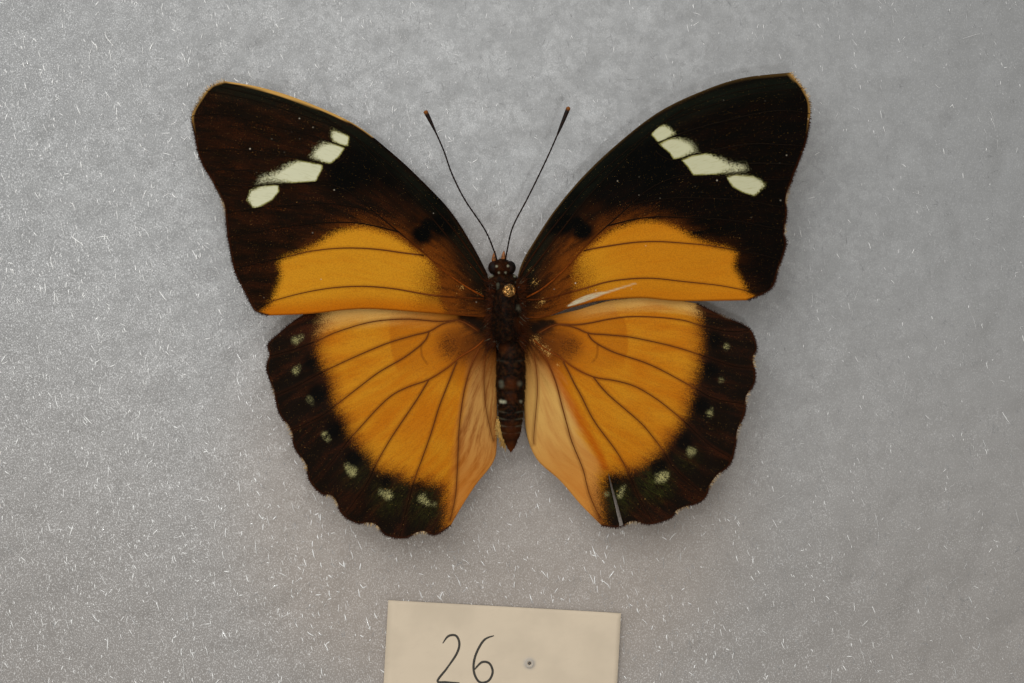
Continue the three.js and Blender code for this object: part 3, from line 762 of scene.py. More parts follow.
def hindwing_scales(c):
    """Orange with a brown-black border and its spots, a cream inner edge and a dark root."""
    t = WingCoat("Hindwing Scales")
    brushed, grain, dust = t.brushed, t.grain, t.dust
    streaks = t.streaks(0.12, 0.8)
    root = t.mark("root")

    soft = t.noise(t.mm, 0.13, 2.0, 0.5)
    t.base = t.mix(t.ramp(t.scattered(streaks, soft, 0.8), 0.6, 1.2, 0.2, 0.85), c.orange, c.deep_orange)
    # Painted shade: a deeper orange on the front part near the root, where the wing layers overlap.
    painted_layer_shade = t.times(t.ramp(t.scattered(root, streaks, 0.8), 14.1, 13.7, 0, 0.6), t.marked("costa", 11, 8))
    t.lay(painted_layer_shade, c.deep_orange)
    t.lay(t.times(painted_layer_shade, 0.2), c.rust)
    t.lay(t.ramp(dust["Height"], 0.6, 0.35, 0, 0.2), c.rust)
    t.lay(t.ramp(brushed, 0.5, 0.8, 0, 0.2), c.rust)
    # The pale front strip: partly the hindwing's own paler colour, partly painted sheen.
    near_front = t.scattered(t.scattered(t.mark("costa"), grain, 1.2), t.mark("pallor"), 1.5)
    strip = t.times(t.ramp(t.scattered(near_front, streaks, 2.0), 5.2, 1.6), t.ramp(root, 5, 16, 0.1, 0.95))
    t.lay(strip, c.straw)
    anal = t.plus(t.mark("cream"), t.centred(streaks, 2.4))
    folded = t.minus(t.ramp(streaks, 0.3, 0.75, 0.35, 0.95), t.times(t.mark("pallor"), 0.4))
    pale = t.mix(folded, c.cream, c.peach)
    creases = t.ramp(t.scattered(streaks, brushed, 0.4), 0.6, 0.95, 0.1, 0.7)
    pale = t.mix(t.times(creases, t.minus(1.0, t.mark("pallor"))), pale, c.dusk)
    pale = t.mix(t.ramp(root, 11, 21, 0, 0.55), pale, c.deep_orange)
    t.lay(t.ramp(anal, -0.7, 0.9), pale)
    rim = t.times(t.marked("margin", 2.2, 0.1, 0, 0.55), t.ramp(anal, -0.7, 0.9))
    t.lay(rim, c.rust)
    burnt = t.times(t.mark("red_streak"), t.ramp(brushed, 0.3, 0.6, 0.6, 1))
    t.lay(burnt, c.burnt)
    smoke = t.times(t.mark("smudge"), t.scattered(t.scattered(0.4, streaks, 1.2), grain, 2.6))
    t.lay(t.ramp(smoke, 0.05, 0.9, 0, 0.75), c.dusk)
    t.lay(t.ramp(smoke, 0.45, 1.25, 0, 0.75), c.brown)
    fanned = t.scattered(t.scattered(root, grain, 3.0), streaks, 5.0)
    t.lay(t.ramp(fanned, 11.5, 4.6, 0, 0.95), c.dusk)
    t.lay(t.ramp(t.scattered(fanned, grain, 1.5), 7.6, 3.2, 0, 0.85), c.brown)
    t.lay(t.blot("joint", 0.8, 0.1, 0.8, 0, 0.95), c.brown)
    t.lay(t.marked("vein", 0.45, 0.1, 0, 0.4), c.rust)
    t.lay(t.marked("faint", 0.25, 0.05, 0, 0.4), c.rust)
    uneven = t.centred(streaks, 1.4)
    reach = t.plus(t.scattered(t.mark("border"), grain, 2.6), uneven)
    t.lay(t.ramp(reach, -2.2, 0.3, 0, 0.6), c.rust)
    dark = t.mix(t.ramp(t.scattered(streaks, grain, 0.3), 0.45, 0.8, 0, 0.75), c.brown, c.red_brown)
    dark = t.mix(t.times(t.mark("front"), t.ramp(streaks, 0.3, 0.6)), dark, c.red_brown)
    dark = t.mix(t.ramp(grain, 0.0, -0.22, 0, 0.6), dark, c.black)
    sheen = t.times(t.mark("green"), t.ramp(t.scattered(brushed, grain, 0.8), 0.3, 0.75))
    dark = t.mix(sheen, dark, c.olive)
    # Single bright scales: partly pale scales, partly painted glints.
    dark = t.mix(t.times(dust["Glint"], 0.5), dark, c.cream)
    dark = t.mix(t.times(t.marked("vein", 0.5, 0.1), 0.22), dark, c.red_brown)
    t.lay(t.ramp(reach, -0.7, 0.8), dark)
    t.lay(t.blot("black", 0.8, 0.1, 0.8, 0, 0.9), c.black)
    feathered = t.times(t.mark("spot"), t.scattered(t.scattered(0.0, grain, 4.0), brushed, 1.45))
    t.lay(t.ramp(feathered, 0.05, 0.9), c.pale_spot)
    t.lay(t.marked("margin", 0.32, 0.02, 0, 0.75), c.red_brown)
    t.lay(t.blot("fleck", 1.6, 0.5, 0.8), c.cream)
    return t.scaly(c.cream, 0.5, 0.7, 0.03)


def vein_cuticle(c):
    """Wing veins: dark brown on the orange, reddish near the root and nearly black in the borders."""
    t = Coat("Vein Cuticle")
    grain = t.noise(t.millimetres(), 3.0, 2.0)
    t.base = t.mix(t.mark("lit"), c.brown, c.vein)
    t.lay(t.times(t.mark("near"), t.ramp(grain, 0.3, 0.6, 0.5, 1)), c.vein_root)
    return t.finished(t.base, t.ramp(grain, 0.3, 0.7, 0.45, 0.65), 0.03)


def fringe_scales(c):
    """The scales along the outer edges: red brown, and cream where the edge is notched."""
    t = Coat("Fringe Scales")
    dark = t.mix(t.mark("shade"), c.brown, c.red_brown)
    bright = t.mix(t.mark("shade"), c.tuft, c.straw)
    return t.finished(t.mix(t.mark("pale"), dark, bright), 0.6, 0.15)


def hairy_cuticle(c, name, pale, gloss=0.03):
    """Black-brown cuticle or hair with its pale and reddish marks."""
    t = Coat(name)
    mm = t.millimetres()
    grain = t.noise(mm, 3.0, 3.0, 0.6)
    t.base = t.mix(t.ramp(grain, 0.42, 0.75, 0, 0.5), c.cuticle, c.red_brown)
    t.lay(t.ramp(t.noise(mm, 1.6, 2.0), 0.42, 0.8, 0, 0.06), c.peach)
    t.lay(t.mark("red"), c.rust)
    t.lay(t.mark("pale"), pale)
    dust = t.group(scale_dust(), {"Vector": mm, "Size": 6.5})
    # Pale specks: partly pale scales in the hair, partly painted glints.
    t.lay(t.times(dust["Glint"], 0.8), c.cream)
    return t.finished(t.base, t.ramp(grain, 0.3, 0.7, 0.34, 0.6), gloss, t.bump(grain, 0.4, 0.00008))


def eye_gloss(c):
    """Dark glossy eyes with fine facets."""
    t = Coat("Eye Gloss")
    mm = t.millimetres()
    facets = t.add("TexVoronoi", {"Vector": mm, "Scale": 14.0}, feature="F1").outputs["Distance"]
    t.base = t.mix(t.ramp(t.noise(mm, 0.8, 2.0), 0.3, 0.8, 0, 0.55), c.black, c.red_brown)
    return t.finished(t.base, 0.5, 0.12, t.bump(facets, 0.25, 0.00003))


def limb_cuticle(c):
    """Smooth dark cuticle that turns orange where the tip mark says so."""
    t = Coat("Limb Cuticle")
    grain = t.noise(t.millimetres(), 5.0, 2.0)
    t.base = t.mix(t.ramp(grain, 0.4, 0.7, 0, 0.4), c.cuticle, c.red_brown)
    roughness = t.ramp(grain, 0.3, 0.7, 0.4, 0.6)
    return t.finished(t.mix(t.mark("tip"), t.base, c.palp), roughness, 0.12, t.bump(grain, 0.3, 0.00004))


def felted_wadding(c):
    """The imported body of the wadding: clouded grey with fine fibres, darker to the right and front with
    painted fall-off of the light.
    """
    t = Coat("Felted Wadding")
    mm = t.millimetres()
    clouds = t.noise(mm, 0.3, 3.0, 0.55)
    tufts = t.noise(mm, 0.9, 3.0, 0.6)
    grain = t.noise(t.stretched(mm, (8.0, 5.2, 5.0), 0.28), 1.0, 1.0, 0.6)
    painted_sparkle_side = t.add("VectorMath", {0: mm, 1: (-0.007, -0.008, 0)}, operation="DOT_PRODUCT").outputs["Value"]
    coarse = t.ramp(t.plus(painted_sparkle_side, t.times(clouds, 0.9)), -0.1, 1.0, 0.2, 1)
    darker = shaded(c.wadding, 0.7)
    lighter = shaded(c.wadding, 1.9)
    t.base = t.mix(t.ramp(clouds, 0.3, 0.7, 0.6, 0), c.wadding, darker)
    t.lay(t.ramp(tufts, 0.38, 0.6, 0.65, 0), darker)
    # Painted fall-off of the light: darker away from the upper left.
    away = t.add("VectorMath", {0: mm, 1: (-14, 24, 10)}, operation="DISTANCE").outputs["Value"]
    t.lay(t.ramp(away, 12, 92, 0, 0.85), shaded(c.wadding, 0.57))
    ahead = t.add("SeparateXYZ", {0: mm}).outputs[1]
    t.lay(t.ramp(ahead, -10, -32, 0, 0.25), shaded(c.wadding, 0.4))
    # The grain's light specks: partly the fibres' pale tone, partly painted sparkle, stronger to the left and
    # front.
    t.lay(t.times(t.ramp(grain, 0.5, 0.75, 0, 0.75), coarse), lighter)
    t.lay(t.times(t.ramp(grain, 0.48, 0.26), coarse), shaded(c.wadding, 0.52))
    t.lay(t.ramp(ahead, 30, -45, 0, 0.5), t.mix(0.5, t.base, (0.42, 0.34, 0.27)))
    # Painted warm bounce light from the orange wings, on the wadding around the hindwings.
    beside = t.add("VectorMath", {0: mm, 1: (-3, -14, 10)}, operation="DISTANCE").outputs["Value"]
    t.lay(t.ramp(beside, 42, 24, 0, 0.25), (0.42, 0.31, 0.22))
    return t.finished(t.base, 0.85, 0.15, t.bump(tufts, 0.4, 0.00008))


def bright_fibre(c):
    """One glossy fibre of the wadding, lightened towards white as its shade mark says: painted glint."""
    t = Coat("Bright Fibre")
    shade = t.mark("shade")
    roughness = t.ramp(shade, 0, 1, 0.3, 0.12)
    # Painted glint: the shade mark lightens the fibre towards white.
    tint = t.mix(t.ramp(shade, 0.06, 0.35), shaded(c.wadding, 0.75), (0.96, 0.96, 0.94))
    return t.finished(tint, roughness, 1.0, IOR=1.6)


def rag_card(c):
    """Cream card with its fibres, faint blotches and a greyed rim at the hole."""
    t = Coat("Rag Card")
    mm = t.millimetres()
    fibres = t.noise(t.stretched(mm, (0.6, 2.6, 1), 0.4), 1.4, 4.0, 0.65)
    blotches = t.noise(mm, 0.16, 3.0, 0.55)
    darker = shaded(c.card, 0.86)
    t.base = t.mix(t.ramp(blotches, 0.35, 0.7, 0, 0.7), c.card, darker)
    t.lay(t.ramp(fibres, 0.55, 0.75, 0, 0.35), darker)
    t.lay(t.times(t.mark("rim"), 0.6), shaded(c.wadding, 0.75))
    return t.finished(t.base, 0.8, 0.25, t.bump(fibres, 0.25, 0.00004))


def pen_ink(c):
    t = Coat("Pen Ink")
    uneven = t.noise(t.millimetres(), 2.2, 3.0, 0.6)
    lighter = shaded(c.ink, 2.6)
    return t.finished(t.mix(t.ramp(uneven, 0.45, 0.75, 0, 0.7), c.ink, lighter), 0.6)


def tarnished_brass(c):
    """Drawn brass wire with spots of tarnish and hammer marks on its head."""
    t = Coat("Tarnished Brass")
    mm = t.millimetres()
    spots = t.noise(mm, 3.2, 4.0, 0.65)
    dents = t.add("TexVoronoi", {"Vector": mm, "Scale": 3.6}, feature="SMOOTH_F1").outputs["Distance"]
    darker = shaded(c.brass, 0.22)
    roughness = t.ramp(spots, 0.35, 0.7, 0.14, 0.45)
    tint = t.mix(t.ramp(spots, 0.38, 0.54), c.brass, darker)
    return t.finished(tint, roughness, normal=t.bump(dents, 0.9, 0.0003), Metallic=1)


def foam_board(c):
    """White foam board with the fine cells of its cut edge."""
    t = Coat("Foam Board")
    mm = t.millimetres()
    cells = t.add("TexVoronoi", {"Vector": mm, "Scale": 1.8}, feature="F1").outputs["Distance"]
    soft = t.noise(mm, 0.05, 3.0)
    darker = shaded(c.board, 0.8)
    t.base = t.mix(t.ramp(soft, 0.3, 0.7), c.board, darker)
    t.lay(t.ramp(cells, 0.2, 0.6, 0, 0.3), darker)
    return t.finished(t.base, 0.75, normal=t.bump(cells, 0.3, 0.0001))


def palp_scales(c):
    t = Coat("Palp Scales")
    grain = t.noise(t.millimetres(), 4.0, 3.0)
    darker = shaded(c.palp, 0.35)
    return t.finished(t.mix(t.ramp(grain, 0.35, 0.65), darker, c.palp), 0.55)


def smooth_line(points, per_span=10):
    """A smooth line through the points, as the solids' outlines run."""
    given = np.asarray(points, float)
    ends = np.vstack([given[:1], given, given[-1:]])
    share = np.linspace(0, 1, per_span, endpoint=False)[:, None]
    spans = [
        b + 0.5 * share * (c - a + share * (2 * a - 5 * b + 4 * c - d + share * (3 * b - a - 3 * c + d)))
        for a, b, c, d in zip(ends, ends[1:], ends[2:], ends[3:])
    ]
    return np.vstack([*spans, given[-1:]])


def walk(line, shares):
    """The points at given shares of a line's length."""
    steps = np.linalg.norm(np.diff(line, axis=0), axis=1)
    reach = np.concatenate([[0], np.cumsum(steps)]) / steps.sum()
    return np.column_stack([np.interp(shares, reach, column) for column in line.T])


def distance_to(points, line):
    """How far each point is from a broken line."""
    best = np.full(len(points), np.inf)
    for a, b in zip(line[:-1], line[1:]):
        along = b - a
        share = np.clip((points - a) @ along / max(along @ along, 1e-12), 0, 1)
        best = np.minimum(best, np.linalg.norm(points - a - share[:, None] * along, axis=1))
    return best


def depth_inside(points, outline):
    """How far inside a closed outline each point is: below 0 outside it."""
    x, y = points.T
    inside = np.zeros(len(points), bool)
    for (ax, ay), (bx, by) in zip(outline, np.roll(outline, -1, axis=0)):
        if ay != by:
            inside ^= ((ay > y) != (by > y)) & (x < (bx - ax) * (y - ay) / (by - ay) + ax)
    far = distance_to(points, np.vstack([outline, outline[:1]]))
    return np.where(inside, far, -far)


def round_marks(points, marks):
    """The strength of soft round marks at each point, up to 1."""
    found = np.zeros(len(points))
    for x, y, radius, strength in marks:
        away = np.hypot(points[:, 0] - x, points[:, 1] - y) / radius
        found = np.maximum(found, strength * np.clip(1.25 - away, 0, 1))
    return found


def wing_plan(outline, out, across):
    """Points of a wing's plan: out runs from the root to the outer edge, across from front to rear."""
    front, outer, rear = (smooth_line(outline[edge]) for edge in ("front", "outer", "rear"))
    a = across[:, None]
    b = out[:, None]
    root = (1 - a) * front[0] + a * rear[0]
    point = (1 - a) * walk(front, out) + a * walk(rear, out) + (1 - b) * root + b * walk(outer, across)
    corners = (1 - b) * (1 - a) * front[0] + b * (1 - a) * front[-1] + (1 - b) * a * rear[0] + b * a * rear[-1]
    return point - corners


def stand(stance, out, across):
    """How high each point of a wing stands over the wings' level."""
    arch = stance["arch"] * np.sin(np.pi * out) * np.sin(np.pi * across)
    droop = stance["droop"] * across**4 * np.sin(np.pi * (0.15 + 0.6 * out))
    return stance["root"] + stance["rise"] * out + arch - droop


def edge_fields(outline, plan):
    """Distances to a wing's outer, front and rear edges and to its root."""
    front, outer, rear = (smooth_line(outline[edge], 6) for edge in ("front", "outer", "rear"))
    root = (front[0] + rear[0]) / 2
    return {
        "margin": distance_to(plan, outer),
        "costa": distance_to(plan, front),
        "rear": distance_to(plan, rear),
        "root": np.linalg.norm(plan - root, axis=1),
    }


def place_in(outline, points):
    """How far out and across the given points of a wing's plan lie."""
    across, out = (grid.ravel() for grid in np.meshgrid(np.linspace(0, 1, 60), np.linspace(0, 1, 60)))
    coarse = wing_plan(outline, out, across)
    nearest = [np.argmin(np.hypot(*(coarse - point).T)) for point in points]
    out, across = out[nearest], across[nearest]
    for _ in range(8):
        here = wing_plan(outline, out, across)
        step_out = np.where(out > 0.5, -1e-3, 1e-3)
        step_across = np.where(across > 0.5, -1e-3, 1e-3)
        by_out = (wing_plan(outline, out + step_out, across) - here) / step_out[:, None]
        by_across = (wing_plan(outline, out, across + step_across) - here) / step_across[:, None]
        miss = points - here
        size = by_out[:, 0] * by_across[:, 1] - by_out[:, 1] * by_across[:, 0]
        size = np.where(abs(size) < 1e-6, 1e-6, size)
        out = (out + (miss[:, 0] * by_across[:, 1] - miss[:, 1] * by_across[:, 0]) / size).clip(0, 1)
        across = (across + (by_out[:, 0] * miss[:, 1] - by_out[:, 1] * miss[:, 0]) / size).clip(0, 1)
    return out, across


def nearest_vein(plan, veins):
    return np.minimum.reduce([distance_to(plan, smooth_line(vein, 5)) for vein in veins])


def patch_fields(plan, patches, side):
    """How far inside the white patches each point is, and how ragged they are there, from 0 to 1."""
    depths = [depth_inside(plan, np.array(patch, float)) for patch in patches]
    middles = np.array([np.mean(patch, axis=0) for patch in patches])
    chosen = np.argmax(depths, axis=0)
    outward = (plan - middles[chosen]) @ np.array([0.85 * side, 0.5])
    feather = np.array(RAGGED)[chosen] * np.clip(0.3 + outward / 2.2, 0, 1)
    return {"white": np.maximum.reduce(depths), "feather": feather}


def forewing_fields(plan):
    """The left forewing's markings at each point of its plan."""
    return {
        **edge_fields(LEFT_FOREWING, plan),
        **patch_fields(plan, FOREWING_WHITE, -1),
        "vein": nearest_vein(plan, FOREWING_VEINS.values()),
        "orange": depth_inside(plan, smooth_line(FOREWING_ORANGE, 4)),
        "blotch": round_marks(plan, FOREWING_BLOTCH),
        "gloom": round_marks(plan, FOREWING_GLOOM),
    }


def hindwing_fields(plan):
    """The left hindwing's markings at each point of its plan."""
    return {
        **edge_fields(LEFT_HINDWING, plan),
        **border_fields(plan, HINDWING_BORDER, BORDER_FAR_SIDE, CREAM_EDGE, CREAM_FAR_SIDE),
        "vein": nearest_vein(plan, HINDWING_VEINS.values()),
        "faint": distance_to(plan, smooth_line(FAINT_VEIN, 5)),
        "spot": round_marks(plan, PALE_SPOTS),
        "black": round_marks(plan, BLACK_SPOTS),
        "green": round_marks(plan, GREEN_SPOTS),
        "smudge": round_marks(plan, HINDWING_SMUDGE),
        "joint": round_marks(plan, HINDWING_JOINT),
    }


def border_fields(plan, border, border_far_side, cream, cream_far_side):
    """How far inside the dark border and the cream inner edge each point is."""
    return {
        "border": depth_inside(plan, np.vstack([smooth_line(border, 4), border_far_side])),
        "cream": depth_inside(plan, np.vstack([smooth_line(cream, 4), cream_far_side])),
    }


def wing_grid(outline=None, slit=()):
    """An even grid of cells as a bmesh, how far out and across each of its points is, and its side of a slit.

    With a slit, one row of the grid's edges is slid onto it and split there. The side is -1 or 1 beside the
    slit and falls to 0 away from it.
    """
    bm = bmesh.new()
    bmesh.ops.create_grid(bm, x_segments=CELLS_OUT, y_segments=CELLS_ACROSS, size=0.5)
    if not len(slit):
        out, across = grid_places(bm)
        return bm, out, across, np.zeros(len(out))
    slit_out, slit_across = place_in(outline, smooth_line(slit, 6))
    row = round(slit_across.mean() * CELLS_ACROSS) / CELLS_ACROSS
    on_row = [e for e in bm.edges if all(abs(v.co.y + 0.5 - row) < 1e-3 for v in e.verts)]
    bmesh.ops.split_edges(bm, edges=[e for e in on_row if min(v.co.x for v in e.verts) + 0.5 > slit_out[0]])
    out, across = grid_places(bm)
    beyond = np.array([np.mean([f.calc_center_median().y for f in v.link_faces]) + 0.5 > row for v in bm.verts])
    reach = np.clip((out - slit_out[0]) / (1 - slit_out[0]), 0, 1)
    side = np.where(beyond, 1, -1) * np.sqrt(reach) * np.exp(-abs(across - row) / 0.03)
    slid = np.interp(out, slit_out, slit_across)
    across = np.where(across <= row, across * slid / row, 1 - (1 - across) * (1 - slid) / (1 - row))
    return bm, out, across, side


def grid_places(bm):
    place = np.array([v.co[:2] for v in bm.verts]) + 0.5
    return place[:, 0], place[:, 1]


def sway(plan, root):
    """The gentle waves of a dried wing, none at its root."""
    waves = np.array([noise.noise(Vector((0.16 * x, 0.16 * y, 3))) for x, y in plan])
    return 0.2 * waves * np.clip(root / 8, 0, 1)


def wing_relief(plan, fields):
    """The waves of a wing with its membrane a little slack between the veins."""
    slack = 0.06 * np.clip(fields["root"] / 8, 0, 1) * np.clip(fields["vein"] / 1.5, 0, 1)
    return sway(plan, fields["root"]) - slack


def mesh_from(bm, name):
    """A bmesh as a smooth mesh."""
    mesh = bpy.data.meshes.new(name)
    bm.to_mesh(mesh)
    bm.free()
    mesh.shade_smooth()
    return mesh


def thicken(sheet, thickness):
    """Gives a sheet its thickness, under the side that looks up."""
    solid = sheet.modifiers.new("Thickness", "SOLIDIFY")
    solid.thickness = thickness
    solid.offset = -1


def add_fields(mesh, fields):
    for name, values in fields.items():
        mesh.attributes.new(name, "FLOAT", "POINT").data.foreach_set("value", np.asarray(values, np.float32))


def piece(name, mesh, material, replaced=()):
    """A finished piece of the object, with its place in its mesh."""
    made = bpy.data.objects.new(name, mesh)
    bpy.context.scene.collection.objects.link(made)
    mesh.materials.append(material)
    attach(made, "root")
    if replaced:
        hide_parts(*replaced)
    return made


def to_world(points):
    """Points of the insect's frame, in metres in the frame's axes."""
    return (np.asarray(points, float) + INSECT) * MM


def make_wing(name, outline, stance, grid, markings, sizes, material):
    """One wing: a grid carried onto its plan, ridged along its veins and given its thickness."""
    bm, out, across, side = grid
    fields, relief = markings
    plan = wing_plan(outline, out, across)
    right = plan[:, 0].mean() > 0
    plan[:, 0] -= side * TEAR_WIDTH / 2
    points = to_world(np.column_stack([plan, stand(stance, out, across) + relief]))
    for vert, place in zip(bm.verts, points):
        vert.co = place
    if right:
        bmesh.ops.reverse_faces(bm, faces=bm.faces)
    mesh = mesh_from(bm, name)
    add_fields(mesh, {**fields, **own_marks(name, fields, plan, out)})
    flow = mesh.attributes.new("flow", "FLOAT_VECTOR", "POINT")
    along, over = STREAK_SPAN
    lines = np.column_stack([along * out, over * across, np.full(len(out), 5.0 if right else 0.0)])
    flow.data.foreach_set("vector", lines.astype(np.float32).ravel())
    thicken(piece(name + "_membrane", mesh, material, [name]), sizes.membrane)


def own_marks(name, fields, plan, out):
    """The marks that a wing doesn't share with the other of its pair."""
    own = {"fleck": round_marks(plan, FLECKS.get(name, []))}
    pale_tip = np.clip((plan[:, 1] - 22.5) / 2.5, 0, 1) * np.clip(1 - (fields["margin"] - 0.02) / 0.22, 0, 1)
    if name == "left_forewing":
        thick = np.interp(out, *zip(*FRONT_RIM))
        own["rim"] = 0.9 * np.clip((thick - fields["costa"]) / 0.06 + 0.5, 0, 1) * (thick > 0.01)
        own["rim"] = np.maximum(own["rim"], 0.8 * pale_tip)
    elif name == "right_forewing":
        line = smooth_line(CREASE, 8)
        share = np.clip((plan[:, 0] - line[0, 0]) / (line[-1, 0] - line[0, 0]), 0, 1)
        half = np.interp(share, *zip(*CREASE_HALF_WIDTHS))
        own["crease"] = np.clip(1 - (distance_to(plan, line) - half) / 0.1, 0, 1) * (1 - 0.5 * share)
        own["rim"] = np.maximum(0.1 * np.clip(1 - (fields["costa"] - 0.12) / 0.08, 0, 1), 0.8 * pale_tip)
        # Painted shade over the right forewing, growing away from its root.
        own["dim"] = 0.82 * np.clip((fields["root"] - 8) / 8, 0, 1)
        own |= patch_fields(plan, RIGHT_FOREWING_WHITE, 1)
    elif name == "right_hindwing":
        own |= border_fields(plan, RIGHT_BORDER, RIGHT_BORDER_FAR_SIDE, RIGHT_CREAM_EDGE, RIGHT_CREAM_FAR_SIDE)
        own["spot"] = round_marks(plan, RIGHT_PALE_SPOTS)
        own["black"] = round_marks(plan, RIGHT_BLACK_SPOTS)
        own["green"] = round_marks(plan, RIGHT_GREEN_SPOTS)
        strength = np.interp(plan[:, 1], (-20.8, -19, -10, -5), (0.9, 1, 0.8, 0.6))
        reach = np.interp(plan[:, 1], (-20, -6), (0.6, 1.1))
        away = distance_to(plan, smooth_line(RED_STREAK, 6))
        own["red_streak"] = strength * np.clip(1.2 - away / reach, 0, 1)
        own["pallor"] = np.ones(len(plan))
    else:
        own["front"] = 0.8 * np.clip((5 - fields["costa"]) / 3.5, 0, 1)
    return own


def mesh_of(name, points, corners):
    """A mesh from arrays: its points, and faces of three or four corners in arrays of their own."""
    mesh = bpy.data.meshes.new(name)
    mesh.vertices.add(len(points))
    mesh.vertices.foreach_set("co", np.asarray(points, np.float32).ravel())
    flat = np.concatenate([block.ravel() for block in corners]).astype(np.int32)
    counts = np.concatenate([np.full(len(block), block.shape[1]) for block in corners])
    mesh.loops.add(len(flat))
    mesh.loops.foreach_set("vertex_index", flat)
    mesh.polygons.add(len(counts))
    mesh.polygons.foreach_set("loop_start", np.concatenate([[0], np.cumsum(counts)[:-1]]).astype(np.int32))
    mesh.update(calc_edges=True)
    mesh.validate()
    return mesh


def tubes(name, paths, radii, sides=3, **fields):
    """Many closed tubes as one mesh, from paths shaped (tube, ring, 3) and radii shaped (tube, ring).

    The fields hold one value for each tube, or one for each of its rings.
    """
    count, rings = radii.shape
    ahead = np.gradient(paths, axis=1)
    ahead /= np.linalg.norm(ahead, axis=2, keepdims=True) + 1e-12
    level = np.cross((0.0, 0.0, 1.0), ahead)
    level[np.linalg.norm(level, axis=2) < 1e-3] = (1, 0, 0)
    level /= np.linalg.norm(level, axis=2, keepdims=True)
    upright = np.cross(ahead, level)
    angle = 2 * np.pi * np.arange(sides) / sides
    spoke = np.cos(angle)[:, None] * level[:, :, None] + np.sin(angle)[:, None] * upright[:, :, None]
    points = (paths[:, :, None] + radii[:, :, None, None] * spoke).reshape(-1, 3)
    index = np.arange(count * rings * sides).reshape(count, rings, sides)
    turn = np.roll(index, -1, axis=2)
    walls = np.stack([index[:, :-1], turn[:, :-1], turn[:, 1:], index[:, 1:]], axis=-1).reshape(-1, 4)
    ends = [index[:, 0, ::-1], index[:, -1]]
    mesh = mesh_of(name, points, [walls, *ends])
    for key, values in fields.items():
        fields[key] = np.repeat(np.ravel(values), len(points) // np.size(values))
    add_fields(mesh, fields)
    return mesh


def vein_tubes(name, kind, outline, sizes, material, slot):
    """A wing's veins, as fine tubes let into its membrane."""
    model, veins, stance, fields_of = kind
    lines = [walk(smooth_line(vein, 8), np.linspace(0, 1, VEIN_RINGS)) for vein in veins.values()]
    plan = np.vstack(lines)
    fields = fields_of(plan)
    out, across = place_in(model, plan)
    own = wing_plan(outline, out, across)
    height = stand(stance, out, across) + sway(plan, fields["root"]) + 0.02
    path = to_world(np.column_stack([own, height])).reshape(len(lines), VEIN_RINGS, 3)
    root = fields["root"].reshape(path.shape[:2])
    fine = np.array([[0.55 if vein == "third_anal" else 1.0] for vein in veins])
    radii = fine * sizes.vein * (0.5 + 0.4 * np.clip(1 - root / 30, 0, 1)) * np.linspace(1, 0.75, VEIN_RINGS)
    if slot == "forewing":
        patches = FOREWING_WHITE if own[:, 0].mean() < 0 else RIGHT_FOREWING_WHITE
        white = patch_fields(own, patches, 1)["white"].reshape(path.shape[:2])
        radii *= 1 - 0.97 * np.clip(5 * white, 0, 1)
    else:
        radii *= 0.85
    lit = np.clip(0.5 + 2 * (fields["orange"] if "orange" in fields else -fields["border"]), 0, 1)
    glow = np.array([[0.9 if vein == "cubital" else 0.35 if "anal" in vein else 0.1] for vein in veins])
    mesh = tubes(name, path, radii, 8, lit=lit, near=glow * np.clip(1.6 - root / 9, 0, 1))
    mesh.shade_smooth()
    piece(name, mesh, material)


def fringe(name, model, outline, stance, out_share, reach, material, slot, seed):
    """The short scales that stand out along a wing's outer edge."""
    rng = np.random.default_rng(seed)
    outer = smooth_line(outline["outer"], 20)
    total = np.linalg.norm(np.diff(outer, axis=0), axis=1).sum()
    count = int(total * 15)
    share = ((np.arange(count) + rng.uniform(-0.3, 0.3, count)) / (count - 1)).clip(0, 1)
    edge = walk(outer, share)
    before = walk(outer, (share - 0.004).clip(0, 1))
    after = walk(outer, (share + 0.004).clip(0, 1))
    along = (after - before) / np.linalg.norm(after - before, axis=1, keepdims=True)
    side = np.sign(outline["outer"][0][0])
    outward = np.column_stack([along[:, 1], -along[:, 0]]) * -side
    hollow = (walk(outer, (share - 0.045).clip(0, 1)) + walk(outer, (share + 0.045).clip(0, 1))) / 2 - edge
    notch = np.clip((hollow * outward).sum(axis=1) * 4.5 - 0.1, 0, 0.85)
    near_tip = np.clip((0.17 - np.abs(share - 0.03)) * 9, 0, 1) * out_share
    pale = np.clip(np.maximum(notch, near_tip) * rng.uniform(-0.1, 1.2, count), 0, 1)
    away = outward + rng.normal(0, 0.3, (count, 1)) * along
    size = reach / MM * rng.uniform(0.5, 1.15, (count, 1)) * (1 + 0.6 * pale[:, None])
    ones = np.ones(count)
    model_edge = wing_plan(model, ones, share)
    far = np.full(count, 8.0)
    height = stand(stance, ones, share) + sway(model_edge, far)
    root = np.column_stack([edge - 0.12 * outward, height - 0.04])
    steps = [root + np.column_stack([t * size * away, -0.03 * t * size]) for t in (0, 0.6, 1.0)]
    path = np.stack(steps, axis=1)
    radii = np.tile([0.045, 0.04, 0.012], (count, 1)) * MM
    piece(name, tubes(name, to_world(path), radii, pale=pale, shade=rng.uniform(0, 1, count)), material)


def wadding_top(x, y, half_length, half_width, height):
    """The height of the wadding's surface over its floor: the solid's own lumps and soft shoulders."""
    edge = np.minimum(np.minimum(half_length - abs(x), half_width - abs(y)), SHOULDER).clip(0) / SHOULDER
    under_card = np.exp(-(((x - CARD_CENTRE[0]) / 24) ** 4) - ((y - CARD_CENTRE[1]) / 17) ** 4)
    lump = LUMP * np.sin(0.11 * x + 0.6) * np.cos(0.13 * y - 0.4) * (1 - under_card)
    return height - SHOULDER_DROP * (1 - edge) ** 2 + lump


